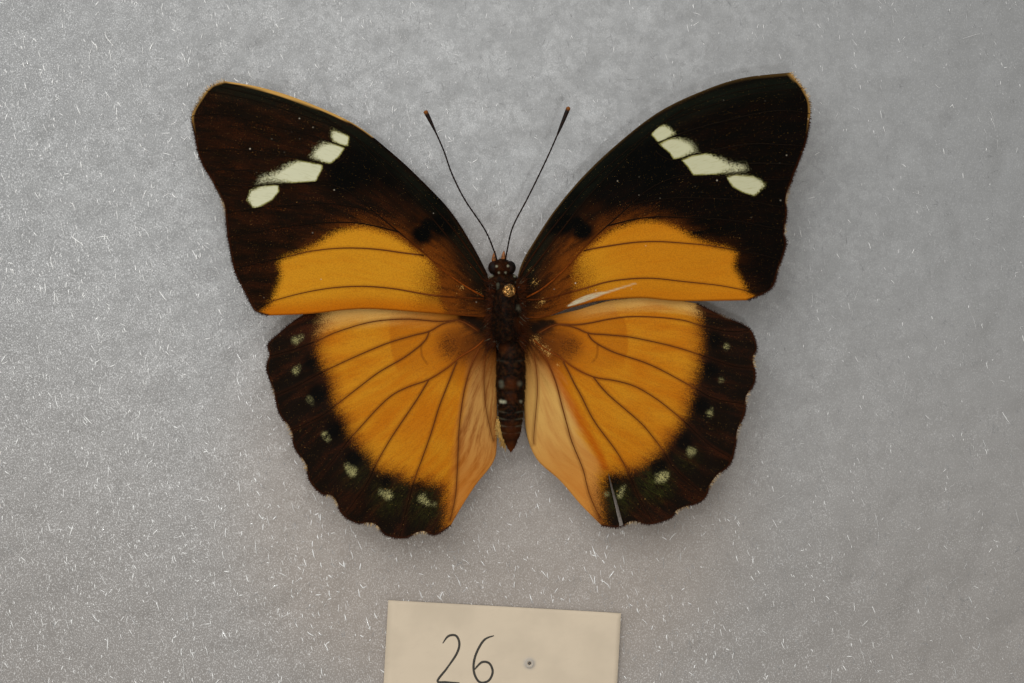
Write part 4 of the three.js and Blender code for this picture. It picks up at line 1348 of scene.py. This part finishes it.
def fluff(x, y):
    """Small soft lumps of the wadding, the same wherever they are asked for."""
    rng = np.random.default_rng(SEED)
    total = np.zeros(np.shape(x))
    for wavelength in np.geomspace(2.2, 13, 36):
        heading, phase = rng.uniform(0, 2 * np.pi, 2)
        across = (x * np.cos(heading) + y * np.sin(heading)) * 2 * np.pi / wavelength
        total = total + 0.011 * wavelength**0.75 * np.sin(across + phase)
    return np.minimum(total, 0.12) * (1 - near_card(x, y))


def near_card(x, y):
    """How much the card holds the wadding down: 1 under it, 0 away from it."""
    away = np.maximum(abs(x - CARD_CENTRE[0]) - CARD_LENGTH / 2, abs(y - CARD_CENTRE[1]) - CARD_WIDTH / 2)
    return np.clip(1 - (away - 0.6) / 1.5, 0, 1)


def fibre_paths(rng, count, reach, rings, bed):
    """Routes of loose fibres that dip in and out of the wadding's top, with some of them along its sides."""
    half_length, half_width, floor, height = bed
    upright = rng.uniform(0, 1, count) < 0.75
    heading = np.where(upright, rng.normal(1.8, 0.3, count), rng.uniform(0, 2 * np.pi, count))
    bend = rng.normal(0, 0.4, count)
    step = reach * rng.lognormal(-0.4, 0.5, count).clip(0.2, 2.2) / (rings - 1)
    middle = rng.uniform(-1, 1, (count, 2)) * (half_length, half_width)
    share = np.linspace(-0.5, 0.5, rings)
    angle = heading[:, None] + bend[:, None] * share
    path = np.cumsum(step[:, None, None] * np.stack([np.cos(angle), np.sin(angle)], axis=-1), axis=1)
    path += (middle - path[:, rings // 2])[:, None]
    x = path[..., 0].clip(-half_length, half_length)
    y = path[..., 1].clip(-half_width, half_width)
    phase = rng.uniform(0, 6.3, (count, 1))
    waves = 0.02 * rings * np.sin(phase + rng.uniform(1, 1.4, (count, 1)) * rings * share)
    lift = rng.uniform(-0.02, 0.06, (count, 1)) - 0.1 * (2 * share) ** 2 + np.where(rings > 4, waves, 0)
    lift = np.where(near_card(x, y) > 0, np.minimum(lift, 0.03), lift)
    z = floor + wadding_top(x, y, half_length, half_width, height) + fluff(x, y) - 0.05 + lift
    sides = rng.uniform(0, 1, (count, 1)) < 0.1
    outside = half_length - np.abs(x) < half_width - np.abs(y)
    bow = 0.25 * reach * np.sin(3 * share + heading[:, None])
    drop = rng.uniform(0, height - SHOULDER_DROP, (count, 1)) + bow
    skin = rng.uniform(0, 0.2, (count, 1))
    x = np.where(sides & outside, np.sign(x) * (half_length + skin), x)
    y = np.where(sides & ~outside, np.sign(y) * (half_width + skin), y)
    z = np.where(sides, floor + drop.clip(0.1, height - 1), z)
    return np.stack([x, y, z], axis=-1) * MM


def bright_arcs(name, rng, count, reach, thickness, rings, bed):
    """A mesh of loose fibres, their pale colour painted glint, brighter at the left and towards the front."""
    paths = fibre_paths(rng, count, reach / MM, rings, bed)
    middle = paths[:, rings // 2] / MM
    painted_sparkle_side = np.clip(0.5 - 0.009 * middle[:, 0] - 0.008 * middle[:, 1], 0.18, 1)
    patchy = np.clip(0.8 + 3 * fluff(1.6 * middle[:, 0], 1.6 * middle[:, 1]), 0.35, 1.3)
    # The shade mark is how much painted glint a fibre carries.
    shade = np.clip(1.9 * rng.uniform(0, 1, count) ** 2.1 * painted_sparkle_side * patchy, 0, 1)
    taper = np.sin(np.pi * np.linspace(0.18, 0.82, rings))
    radii = thickness / 2 * (0.42 + 1.2 * shade[:, None]) * rng.uniform(0.8, 1.15, (count, 1)) * taper
    fibres = tubes(name, paths, radii, shade=shade)
    fibres.shade_smooth()
    return fibres


def grown(bm, rim):
    """One more row of faces along a rim: its new outer edges."""
    made = bmesh.ops.extrude_edge_only(bm, edges=rim)["geom"]
    return [g for g in made if isinstance(g, bmesh.types.BMEdge)]


def lathe(profile, turns, height_share=1.0):
    """A bmesh turned about Y from (distance along Y, radius) points, closed at both ends."""
    bm = bmesh.new()
    ring = [bm.verts.new((radius, along, 0)) for along, radius in profile]
    edges = [bm.edges.new(pair) for pair in zip(ring, ring[1:])]
    bmesh.ops.spin(bm, geom=ring + edges, cent=(0, 0, 0), axis=(0, 1, 0), angle=2 * math.pi, steps=turns,
                   use_merge=True)
    bmesh.ops.remove_doubles(bm, verts=bm.verts, dist=1e-4)
    bmesh.ops.scale(bm, vec=(1, 1, height_share), verts=bm.verts)
    bmesh.ops.recalc_face_normals(bm, faces=bm.faces)
    return bm


def roughen(bm, amplitude, scale):
    """Moves a surface in and out a little along its normals."""
    bm.normal_update()
    shifts = [v.normal * amplitude * noise.fractal(v.co * scale, 0.9, 2.0, 3) for v in bm.verts]
    for vert, shift in zip(bm.verts, shifts):
        vert.co += shift


def finish_mesh(name, bm):
    """A bmesh in the insect's frame as a smooth mesh in metres, with the body's marks on it."""
    mesh = mesh_from(bm, name)
    points = points_of(mesh)
    add_fields(mesh, body_marks(points))
    mesh.vertices.foreach_set("co", to_world(points).astype(np.float32).ravel())
    mesh.update()
    return mesh


def ball(name, radii, at, segments, rough=()):
    """A round part of the body as a mesh, with its surface moved in and out where rough says."""
    bm = bmesh.new()
    bmesh.ops.create_uvsphere(bm, u_segments=segments[0], v_segments=segments[1], radius=1)
    bmesh.ops.scale(bm, vec=radii, verts=bm.verts)
    bmesh.ops.translate(bm, vec=at, verts=bm.verts)
    if rough:
        roughen(bm, *rough)
    return finish_mesh(name, bm)


def points_of(mesh):
    flat = np.empty(3 * len(mesh.vertices), np.float32)
    mesh.vertices.foreach_get("co", flat)
    return flat.reshape(-1, 3).astype(float)


def body_marks(points):
    """The pale and reddish marks on the body's upper side."""
    upper = np.clip((points[:, 2] + 1.4) / 0.5, 0, 1)
    off_middle = np.clip(abs(points[:, 0] - ABDOMEN_AT[0]) / 0.7 - 0.5, 0.05, 1)
    arch = 0.2 * (1 - ((points[:, 0] - ABDOMEN_AT[0]) / 1.6) ** 2)
    along = points[:, 1] + arch - 0.1
    seams = [strength * off_middle * np.exp(-((along - y) / 0.1) ** 2) for y, strength in PALE_SEAMS]
    return {
        "pale": np.maximum.reduce([np.clip(1.1 * round_marks(points, BODY_SPOTS), 0, 0.85), *seams]) * upper,
        "red": np.clip(1.4 * round_marks(points, RED_SPOTS), 0, 1),
    }


def body_part(name, mesh, reach, cuticle, material, replaced=()):
    """A part of the body, and the hairs that grow from it and lean back, with the body's marks on them."""
    piece(name + "_shell", mesh, cuticle, replaced)
    count, share, lean, seed, thickness = BODY_HAIR[name]
    name += "_hair"
    reach *= share
    rng = np.random.default_rng(SEED + seed)
    areas = np.array([face.area for face in mesh.polygons])
    centres = np.array([face.center for face in mesh.polygons])
    normals = np.array([face.normal for face in mesh.polygons])
    chosen = rng.choice(len(areas), count, p=areas / areas.sum())
    root = centres[chosen] + rng.normal(0, 0.06 * MM, (count, 3))
    size = reach * rng.uniform(0.45, 1.1, (count, 1))
    out = 0.45 * normals[chosen] + 0.16 * rng.normal(0, 1, (count, 3))
    sunk = root - 0.05 * MM * normals[chosen]
    path = np.stack([sunk + size * (s * out + s**1.4 * np.asarray(lean)) for s in (0, 0.45, 1.0)], axis=1)
    radii = np.tile([1.0, 0.8, 0.25], (count, 1)) * thickness * MM
    piece(name, tubes(name, path, radii, **body_marks(root / MM - INSECT)), material)


def root_tufts(name, side, material):
    """The hair that runs from the thorax out over the wing roots on one side."""
    rng = np.random.default_rng(SEED + 30 + side)
    count = ROOT_HAIRS
    y = rng.uniform(-4.6, 3.8, count)
    on_hindwing = y < -1.4
    start_x = side * rng.uniform(1.2, 2.1, count) + THORAX_AT[0]
    height = np.where(on_hindwing, -0.15, 0.85) + rng.uniform(-0.15, 0.2, count)
    reach = rng.uniform(0.25, 0.9, count) * (1 + rng.uniform(0, 1, count) ** 4)
    fan = np.where(on_hindwing, 0.4 * (y + 2.6), 0.25 * (y - 0.8)) - 0.25 + rng.normal(0, 0.4, count)
    rings = []
    for share in (0, 0.4, 0.75, 1.0):
        x = start_x + side * reach * share
        z = height + 0.1 * math.sin(3 * share) - 0.1 * share + 0.03 * reach * share
        rings.append(np.column_stack([x, y + fan * reach * share, z]))
    radii = np.tile([1.0, 0.9, 0.6, 0.2], (count, 1)) * 0.026 * MM
    red = np.clip(rng.normal(0.4, 0.35, count), 0, 1)
    pale = np.where(rng.uniform(0, 1, count) < 0.025, 0.4, 0)
    piece(name, tubes(name, to_world(np.stack(rings, axis=1)), radii, red=red, pale=pale), material)


def tail_tuft(material):
    """The torn cream tuft along the left of the abdomen's tip."""
    rng = np.random.default_rng(SEED + 50)
    count = TAIL_HAIRS
    share = rng.uniform(0, 1, count)
    start = np.column_stack([
        -1.05 + 0.8 * share**1.6 + rng.normal(0, 0.13, count),
        -14.2 - 3.2 * share + rng.normal(0, 0.15, count),
        -0.6 - 0.3 * share + rng.uniform(-0.1, 0.15, count),
    ])
    away = np.column_stack([rng.normal(*spread, count) for spread in ((-0.12, 0.2), (-0.5, 0.25), (0, 0.12))])
    path = to_world(np.stack([start + t * away for t in (0, 0.5, 1)], axis=1))
    radii = np.tile([1.0, 0.9, 0.3], (count, 1)) * 0.05 * MM
    pale = np.clip(0.95 - 0.4 * share + rng.normal(0, 0.15, count), 0.2, 1)
    red = np.clip(share + rng.normal(0, 0.2, count), 0, 1)
    piece("tail_tuft", tubes("tail_tuft", path, radii, pale=pale, red=red), material)


def wire(name, route, radii, sides=12, steps=8):
    """A round tube along a smooth route in metres, as thick at each point of the route as radii say."""
    line = smooth_line(route, steps)
    thick = np.interp(np.linspace(0, 1, len(line)), np.linspace(0, 1, len(radii)), radii)
    curve = bpy.data.curves.new(name, "CURVE")
    curve.dimensions = "3D"
    curve.bevel_depth = 1.0
    curve.bevel_resolution = max(0, sides // 4 - 1)
    curve.use_fill_caps = True
    spline = curve.splines.new("POLY")
    spline.points.add(len(line) - 1)
    spline.points.foreach_set("co", np.column_stack([line, np.ones(len(line))]).ravel())
    spline.points.foreach_set("radius", thick)
    holder = bpy.data.objects.new(name, curve)
    mesh = bpy.data.meshes.new_from_object(holder)
    bpy.data.objects.remove(holder)
    bpy.data.curves.remove(curve)
    mesh.shade_smooth()
    return mesh


class SPECIMEN_OT_board(bpy.types.Operator):
    """Makes the pinning board"""
    bl_idname = "specimen.board"
    bl_label = "Pinning Board"

    def execute(self, context):
        low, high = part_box("pinning_board")
        bm = bmesh.new()
        bmesh.ops.create_cube(bm, size=1)
        bmesh.ops.scale(bm, vec=high - low, verts=bm.verts)
        bmesh.ops.translate(bm, vec=(low + high) / 2, verts=bm.verts)
        upright = [e for e in bm.edges if abs(e.verts[0].co.z - e.verts[1].co.z) > MM]
        bmesh.ops.bevel(bm, geom=upright, offset=2 * MM, affect="EDGES", segments=6, profile=0.5, material=-1)
        rims = [e for e in bm.edges if len({f.normal.z > 0.5 or f.normal.z < -0.5 for f in e.link_faces}) == 2]
        bmesh.ops.bevel(bm, geom=rims, offset=0.35 * MM, affect="EDGES", segments=3, profile=0.5, material=-1)
        material = foam_board(context.scene.specimen_colours)
        made = piece("foam_board", mesh_from(bm, "foam_board"), material, ["pinning_board"])
        flat = made.modifiers.new("Flat faces", "WEIGHTED_NORMAL")
        flat.keep_sharp = True
        return {"FINISHED"}


class SPECIMEN_OT_wadding(bpy.types.Operator):
    """Makes the layer of wadding and the loose fibres on it"""
    bl_idname = "specimen.wadding"
    bl_label = "Wadding"

    def execute(self, context):
        sizes = context.scene.specimen_sizes
        colours = context.scene.specimen_colours
        low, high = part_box("wadding_layer")
        half_length = (high.x - low.x) / 2 / MM
        half_width = (high.y - low.y) / 2 / MM
        floor = low.z / MM
        height = (high.z - low.z) / MM - LUMP
        bed = (half_length, half_width, floor, height)
        bm = bmesh.new()
        bmesh.ops.create_grid(bm, x_segments=PAD_CELLS[0], y_segments=PAD_CELLS[1], size=0.5)
        rim = [e for e in bm.edges if e.is_boundary]
        for level in (0.72, 0.45, 0.2, 0.0):
            rim = grown(bm, rim)
            for vert in {v for e in rim for v in e.verts}:
                vert.co.z = level - 1
        bmesh.ops.holes_fill(bm, edges=rim, sides=0)
        bmesh.ops.triangulate(bm, faces=[f for f in bm.faces if len(f.verts) > 4])
        places = []
        for vert in bm.verts:
            level = vert.co.z + 1
            belly = 1 - 0.9 * (2 * level - 1) ** 2 / max(half_length, half_width)
            x = 2 * vert.co.x * half_length * (belly if level < 1 else 1 - 0.9 / half_length)
            y = 2 * vert.co.y * half_width * (belly if level < 1 else 1 - 0.9 / half_width)
            places.append((x, y, level))
        x, y, level = np.array(places).T
        top = wadding_top(x, y, half_length, half_width, height) + fluff(x, y) - 0.05
        bulge = np.where(level < 1, 0.8 * fluff(x + 7 * level, y + 5 * level), 0)
        x = x * (1 + bulge / half_length)
        y = y * (1 + bulge / half_width)
        points = np.column_stack([x, y, floor + level * top])
        for vert, point in zip(bm.verts, points * MM):
            vert.co = point
        bmesh.ops.recalc_face_normals(bm, faces=bm.faces)
        mesh = mesh_from(bm, "wadding_pad")
        pad = piece("wadding_pad", mesh, felted_wadding(colours), ["wadding_layer"])
        material = bright_fibre(colours)
        for number in range(sizes.fibre_pieces):
            rng = np.random.default_rng(SEED + number)
            share = 1
            kinds = (("fibres", sizes.fibres_each, sizes.fibre_reach, sizes.fibre, 7),
                     ("glints", sizes.glints_each, sizes.glint_reach, sizes.glint, 4))
            for kind, count, reach, thickness, rings in kinds:
                name = f"wadding_{kind}_{number + 1}"
                fibres = bright_arcs(name, rng, count // share, reach, thickness, rings, bed)
                piece(name, fibres, material)
        return {"FINISHED"}


class SPECIMEN_OT_card(bpy.types.Operator):
    """Makes the card with its pierced hole and its number"""
    bl_idname = "specimen.card"
    bl_label = "Number Card"

    def execute(self, context):
        sizes = context.scene.specimen_sizes
        colours = context.scene.specimen_colours
        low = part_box("number_card")[0]
        middle = Matrix.Translation((CARD_CENTRE[0] * MM, CARD_CENTRE[1] * MM, low.z))
        place = middle @ Matrix.Rotation(CARD_TURN, 4, "Z")
        spokes, hoops = 96, 30
        bm = bmesh.new()
        bmesh.ops.create_circle(bm, segments=spokes, radius=CARD_HOLE_RADIUS)
        rim = list(bm.edges)
        for _ in range(hoops):
            rim = grown(bm, rim)
        bm.verts.ensure_lookup_table()
        corners = [math.atan2(y * CARD_WIDTH / 2 - CARD_HOLE[1], x * CARD_LENGTH / 2 - CARD_HOLE[0])
                   for x in (-1, 1) for y in (-1, 1)]
        rims = []
        for i, vert in enumerate(bm.verts):
            share = (i // spokes) / hoops
            angle = math.atan2(vert.co.y, vert.co.x)
            corner = min((abs(a - angle), a) for a in corners)
            if corner[0] < CORNER_CATCH:
                angle = corner[1]
            cosine, sine = math.cos(angle), math.sin(angle)
            side_x = (math.copysign(CARD_LENGTH / 2, cosine) - CARD_HOLE[0]) / (cosine or 1e-9)
            side_y = (math.copysign(CARD_WIDTH / 2, sine) - CARD_HOLE[1]) / (sine or 1e-9)
            reach = CARD_HOLE_RADIUS + (min(side_x, side_y) - CARD_HOLE_RADIUS) * share**1.8
            x = CARD_HOLE[0] + reach * cosine
            y = CARD_HOLE[1] + reach * sine
            raised = 0.3 * math.exp(-(((reach - 0.42) / 0.16) ** 2))
            curl = 0.12 * (2 * abs(x) / CARD_LENGTH) ** 3
            ripple = 0.03 * noise.noise(Vector((0.3 * x, 0.3 * y, 1)))
            vert.co = (x * MM, y * MM, (sizes.card / MM + raised + curl + ripple) * MM)
            rims.append(math.exp(-(((reach - 0.5) / 0.28) ** 2)))
        bmesh.ops.recalc_face_normals(bm, faces=bm.faces)
        if sum(f.normal.z for f in bm.faces) < 0:
            bmesh.ops.reverse_faces(bm, faces=bm.faces)
        bmesh.ops.transform(bm, matrix=place, verts=bm.verts)
        mesh = mesh_from(bm, "card_sheet")
        add_fields(mesh, {"rim": rims})
        card = piece("card_sheet", mesh, rag_card(colours), ["number_card"])
        thicken(card, sizes.card)
        ink = pen_ink(colours)
        for number, stroke in enumerate(STROKES):
            route = [(x * MM, y * MM, 0) for x, y in stroke]
            widths = [0.4, *([1.0] * (len(route) - 2)), 0.6]
            line = wire(f"pen_stroke_{number + 1}", route, np.array(widths) * sizes.pen / 2, 8)
            flat = Matrix.Diagonal((1, 1, 0.12, 1))
            line.transform(place @ Matrix.Translation((0, 0, sizes.card + 0.02 * MM)) @ flat)
            piece(f"pen_stroke_{number + 1}", line, ink)
        return {"FINISHED"}


class SPECIMEN_OT_pin(bpy.types.Operator):
    """Makes the brass pin with its upset head"""
    bl_idname = "specimen.pin"
    bl_label = "Insect Pin"

    def execute(self, context):
        low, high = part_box("insect_pin")
        radius = (high.x - low.x) / 2 / MM
        top = high.z / MM
        neck = top - 0.9
        head = smooth_line([(neck, PIN_WIRE), (neck + 0.08, 0.8 * radius), (neck + 0.4, radius),
                            (top - 0.16, 0.8 * radius), (top - 0.02, 0.35 * radius), (top - 0.08, 0)], 6)
        head[:, 1] = head[:, 1].clip(0)
        head[:, 0] = head[:, 0].clip(None, top)
        tip = low.z / MM
        shank = [(tip, 0), (tip + 0.6, 0.1), (tip + 2, PIN_WIRE)]
        shank += [(z, PIN_WIRE) for z in np.linspace(tip + 3, neck - 0.4, 12)]
        bm = lathe([*shank, *head], 32)
        bmesh.ops.rotate(bm, cent=(0, 0, 0), matrix=Matrix.Rotation(math.pi / 2, 3, "X"), verts=bm.verts)
        crown = [v for v in bm.verts if v.co.z > neck]
        for vert in crown:
            dent = 0.09 * noise.noise(vert.co * 4.2)
            vert.co.z = min(vert.co.z + dent, top)
            vert.co.xy *= 1 + 0.5 * min(dent, 0)
        middle = (low + high) / 2
        bmesh.ops.scale(bm, vec=(MM, MM, MM), verts=bm.verts)
        bmesh.ops.translate(bm, vec=(middle.x, middle.y, 0), verts=bm.verts)
        material = tarnished_brass(context.scene.specimen_colours)
        piece("brass_pin", mesh_from(bm, "brass_pin"), material, ["insect_pin"])
        return {"FINISHED"}


class SPECIMEN_OT_wings(bpy.types.Operator):
    """Makes the four wings and the fringes of scales along their outer edges"""
    bl_idname = "specimen.wings"
    bl_label = "Wings"

    def execute(self, context):
        sizes = context.scene.specimen_sizes
        colours = context.scene.specimen_colours
        fringe_material = fringe_scales(colours)
        vein_material = vein_cuticle(colours)
        kinds = [
            ("forewing", RIGHT_FOREWING, (LEFT_FOREWING, FOREWING_VEINS, FOREWING_STANCE, forewing_fields),
             forewing_scales(colours)),
            ("hindwing", RIGHT_HINDWING, (LEFT_HINDWING, HINDWING_VEINS, HINDWING_STANCE, hindwing_fields),
             hindwing_scales(colours)),
        ]
        for slot, right, kind, material in kinds:
            left, _, stance, fields_of = kind
            for side, outline in (("left", left), ("right", right)):
                name = f"{side}_{slot}"
                grid = wing_grid(outline, TEAR if name == "right_hindwing" else ())
                plan = wing_plan(left, *grid[1:3])
                fields = fields_of(plan)
                markings = fields, wing_relief(plan, fields)
                make_wing(name, outline, stance, grid, markings, sizes, material)
                vein_tubes(name + "_veins", kind, outline, sizes, vein_material, slot)
                cream = 1.0 if slot == "forewing" else 0.0
                fringe(name + "_fringe", left, outline, stance, cream, sizes.fringe, fringe_material, slot,
                       SEED + len(name))
        return {"FINISHED"}


class SPECIMEN_OT_body(bpy.types.Operator):
    """Makes the head, thorax and abdomen with their hair, eyes, palps and tongue"""
    bl_idname = "specimen.body"
    bl_label = "Body"

    def execute(self, context):
        sizes = context.scene.specimen_sizes
        colours = context.scene.specimen_colours
        cuticle = hairy_cuticle(colours, "Body Cuticle", colours.white)
        hair = hairy_cuticle(colours, "Body Hair", colours.white, 0.09)
        thorax = lathe(smooth_line(THORAX_PROFILE, 5).clip([-9, 0], None), 56, THORAX_HEIGHT_SHARE)
        bmesh.ops.translate(thorax, vec=THORAX_AT, verts=thorax.verts)
        roughen(thorax, 0.12, 0.9)
        body_part("thorax", finish_mesh("thorax_shell", thorax), sizes.fur, cuticle, hair, ["thorax"])

        profile = [(ABDOMEN_FRONT + 0.5, 0), (ABDOMEN_FRONT + 0.3, 1.45)]
        for front, rear in zip(RING_SEAMS, RING_SEAMS[1:]):
            for within in np.linspace(0, 1, 12, endpoint=False):
                y = front + within * (rear - front)
                swell = 1 - 0.09 * math.exp(-within / 0.12) - 0.02 * within
                profile.append((y, np.interp(y, *zip(*ABDOMEN_WIDTHS)) * swell))
        profile.append((ABDOMEN_REAR, 0))
        abdomen = lathe(profile, 72)
        bmesh.ops.translate(abdomen, vec=ABDOMEN_AT, verts=abdomen.verts)
        roughen(abdomen, 0.05, 1.4)
        body_part("abdomen", finish_mesh("abdomen_shell", abdomen), sizes.fur, cuticle, hair, ["abdomen"])

        mesh = ball("collar_shell", COLLAR_RADII, COLLAR_AT, (56, 36), (0.1, 1.1))
        body_part("collar", mesh, sizes.fur, cuticle, hair)
        for side, name in ((-1, "left_root_hair"), (1, "right_root_hair")):
            root_tufts(name, side, hair)
        tail_tuft(hairy_cuticle(colours, "Tail Hair", colours.straw))

        mesh = ball("head_shell", HEAD_RADII, HEAD_AT, (48, 32), (0.1, 1.3))
        body_part("head", mesh, sizes.fur, cuticle, hair, ["head"])

        gloss = eye_gloss(colours)
        for side, name in ((-1, "left_eye"), (1, "right_eye")):
            at = (HEAD_AT[0] + side * EYE_OUT, HEAD_AT[1] + 0.05, HEAD_AT[2] + 0.05)
            piece(name, ball(name, EYE_RADII, at, (36, 24)), gloss)

        scales = palp_scales(colours)
        for (x, y), name in zip(PALPS, ("left_palp", "right_palp")):
            base = np.array([x - 0.3, HEAD_AT[1] + y, HEAD_AT[2] - 0.25])
            route = to_world([base, base + (0, 0.6, 0.25), base + (0.05, 1.15, 0.45), base + (0.12, 1.75, 0.5)])
            piece(name, wire(name, route, np.array([0.28, 0.32, 0.24, 0.05]) * MM, 16), scales)

        turns = np.linspace(0, 2.2 * 2 * math.pi, 44)
        coil = 0.84 - 0.042 * turns
        at = np.array([HEAD_AT[0], HEAD_AT[1] + 0.3, HEAD_AT[2] - HEAD_RADII[2] - 0.95])
        route = at + np.column_stack([0.05 * np.sin(turns), coil * np.sin(turns), coil * np.cos(turns)])
        mesh = wire("tongue_coil", to_world(route), np.array([0.09, 0.08, 0.06, 0.04]) * MM, 12, 2)
        add_fields(mesh, {"tip": np.full(len(mesh.vertices), 0.4)})
        piece("tongue_coil", mesh, limb_cuticle(colours), ["tongue"])
        return {"FINISHED"}


class SPECIMEN_OT_limbs(bpy.types.Operator):
    """Makes the antennae and the legs"""
    bl_idname = "specimen.limbs"
    bl_label = "Antennae and Legs"

    def execute(self, context):
        material = limb_cuticle(context.scene.specimen_colours)
        for node, route in ANTENNAE.items():
            line = smooth_line(route, 12)
            share = np.linspace(0, 1, len(line))
            thick = 0.1 + 0.015 * np.cos(2 * np.pi * 42 * share)
            club = 0.1 + 0.19 * np.sin(np.pi * (share - CLUB_START).clip(0) / 0.36) ** 0.8
            thick = np.where(share > CLUB_START, club, thick)
            thick[-1] = 0.1
            mesh = wire(node + "_rod", to_world(line), thick * MM, 16, 3)
            far = to_world([route[-1]])[0]
            away = np.linalg.norm(points_of(mesh) - far, axis=1) / MM
            add_fields(mesh, {"tip": 0.7 * np.clip(1 - (away - 0.35) / 0.3, 0, 1)})
            piece(node + "_rod", mesh, material, [node])
        for side, mirror in (("left", -1), ("right", 1)):
            for leg, joints in LEGS.items():
                node = f"{side}_{leg}"
                route = to_world([(mirror * x, y, z) for x, y, z in joints])
                mesh = wire(node + "_shell", route, np.array([0.3, 0.26, 0.2, 0.1]) * MM, 16, 10)
                piece(node + "_shell", mesh, material, [node])
        return {"FINISHED"}


class SPECIMEN_OT_stage(bpy.types.Operator):
    """Sets up the camera, the lights and the floor"""
    bl_idname = "specimen.stage"
    bl_label = "Camera and Lights"

    def execute(self, context):
        scene = context.scene
        light = scene.specimen_light
        camera = bpy.data.cameras.new("camera")
        camera.sensor_width = 36
        camera.lens = LENS
        camera.clip_start = 0.01
        scene.camera = bpy.data.objects.new("camera", camera)
        scene.camera.location = (0, AIM[1], light.camera_height)
        scene.collection.objects.link(scene.camera)

        powers = {"key": light.key_power, "spark": light.spark_power, "window": light.window_power}
        widths = {"key": light.key_size, "spark": SPARK_WIDTH, "window": WINDOW_WIDTH}
        for name, (shape, tint, place) in LAMPS.items():
            lamp = bpy.data.objects.new(name, bpy.data.lights.new(name, "AREA"))
            lamp.data.shape = shape
            lamp.data.color = tint
            lamp.data.size = widths[name]
            lamp.data.energy = powers[name]
            lamp.location = place
            lamp.rotation_euler = (Vector(AIM) - lamp.location).to_track_quat("-Z", "Y").to_euler()
            scene.collection.objects.link(lamp)

        scene.world = bpy.data.worlds.new("surround")
        scene.world.use_nodes = True
        surround = scene.world.node_tree.nodes["Background"].inputs
        surround["Color"].default_value = (1.0, 0.96, 0.9, 1)
        surround["Strength"].default_value = light.fill
        scene.view_settings.view_transform = "Standard"

        bm = bmesh.new()
        bmesh.ops.create_grid(bm, x_segments=4, y_segments=4, size=1.5)
        mesh = mesh_from(bm, "floor")
        t = Coat("Pale Floor")
        tone = scene.specimen_colours.floor
        tint = t.mix(t.noise(t.millimetres(), 0.01, 3.0), tone, shaded(tone, 0.94))
        mesh.materials.append(t.finished(tint, 0.8))
        floor = bpy.data.objects.new("floor", mesh)
        floor.location.z = -0.0002
        scene.collection.objects.link(floor)
        return {"FINISHED"}


class SPECIMEN_PT_panel(bpy.types.Panel):
    """The specimen's pieces, sizes and colours"""
    bl_idname = "SPECIMEN_PT_panel"
    bl_label = "Pinned Butterfly"
    bl_space_type = "VIEW_3D"
    bl_region_type = "UI"
    bl_category = "Specimen"

    def draw(self, context):
        for operator in OPERATORS:
            self.layout.operator(operator.bl_idname)
        for group in GROUPS:
            settings = getattr(context.scene, group)
            box = self.layout.box()
            for name in settings.bl_rna.properties.keys():
                if name not in ("rna_type", "name"):
                    box.prop(settings, name)


OPERATORS = (SPECIMEN_OT_stage, SPECIMEN_OT_board, SPECIMEN_OT_wadding, SPECIMEN_OT_card, SPECIMEN_OT_pin,
             SPECIMEN_OT_wings, SPECIMEN_OT_body, SPECIMEN_OT_limbs)
GROUPS = {"specimen_sizes": SpecimenSizes, "specimen_colours": SpecimenColours, "specimen_light": SpecimenLight}


def register():
    for group in GROUPS.values():
        bpy.utils.register_class(group)
    for name, group in GROUPS.items():
        setattr(bpy.types.Scene, name, PointerProperty(type=group))
    for operator in OPERATORS:
        bpy.utils.register_class(operator)
    bpy.utils.register_class(SPECIMEN_PT_panel)


def unregister():
    bpy.utils.unregister_class(SPECIMEN_PT_panel)
    for operator in reversed(OPERATORS):
        bpy.utils.unregister_class(operator)
    for name, group in reversed(GROUPS.items()):
        delattr(bpy.types.Scene, name)
        bpy.utils.unregister_class(group)


def main():
    register()
    bpy.ops.specimen.stage()
    bpy.ops.specimen.board()
    bpy.ops.specimen.wadding()
    bpy.ops.specimen.card()
    bpy.ops.specimen.pin()
    bpy.ops.specimen.wings()
    bpy.ops.specimen.body()
    bpy.ops.specimen.limbs()
    bpy.context.view_layer.update()


if __name__ == "__main__":
    main()
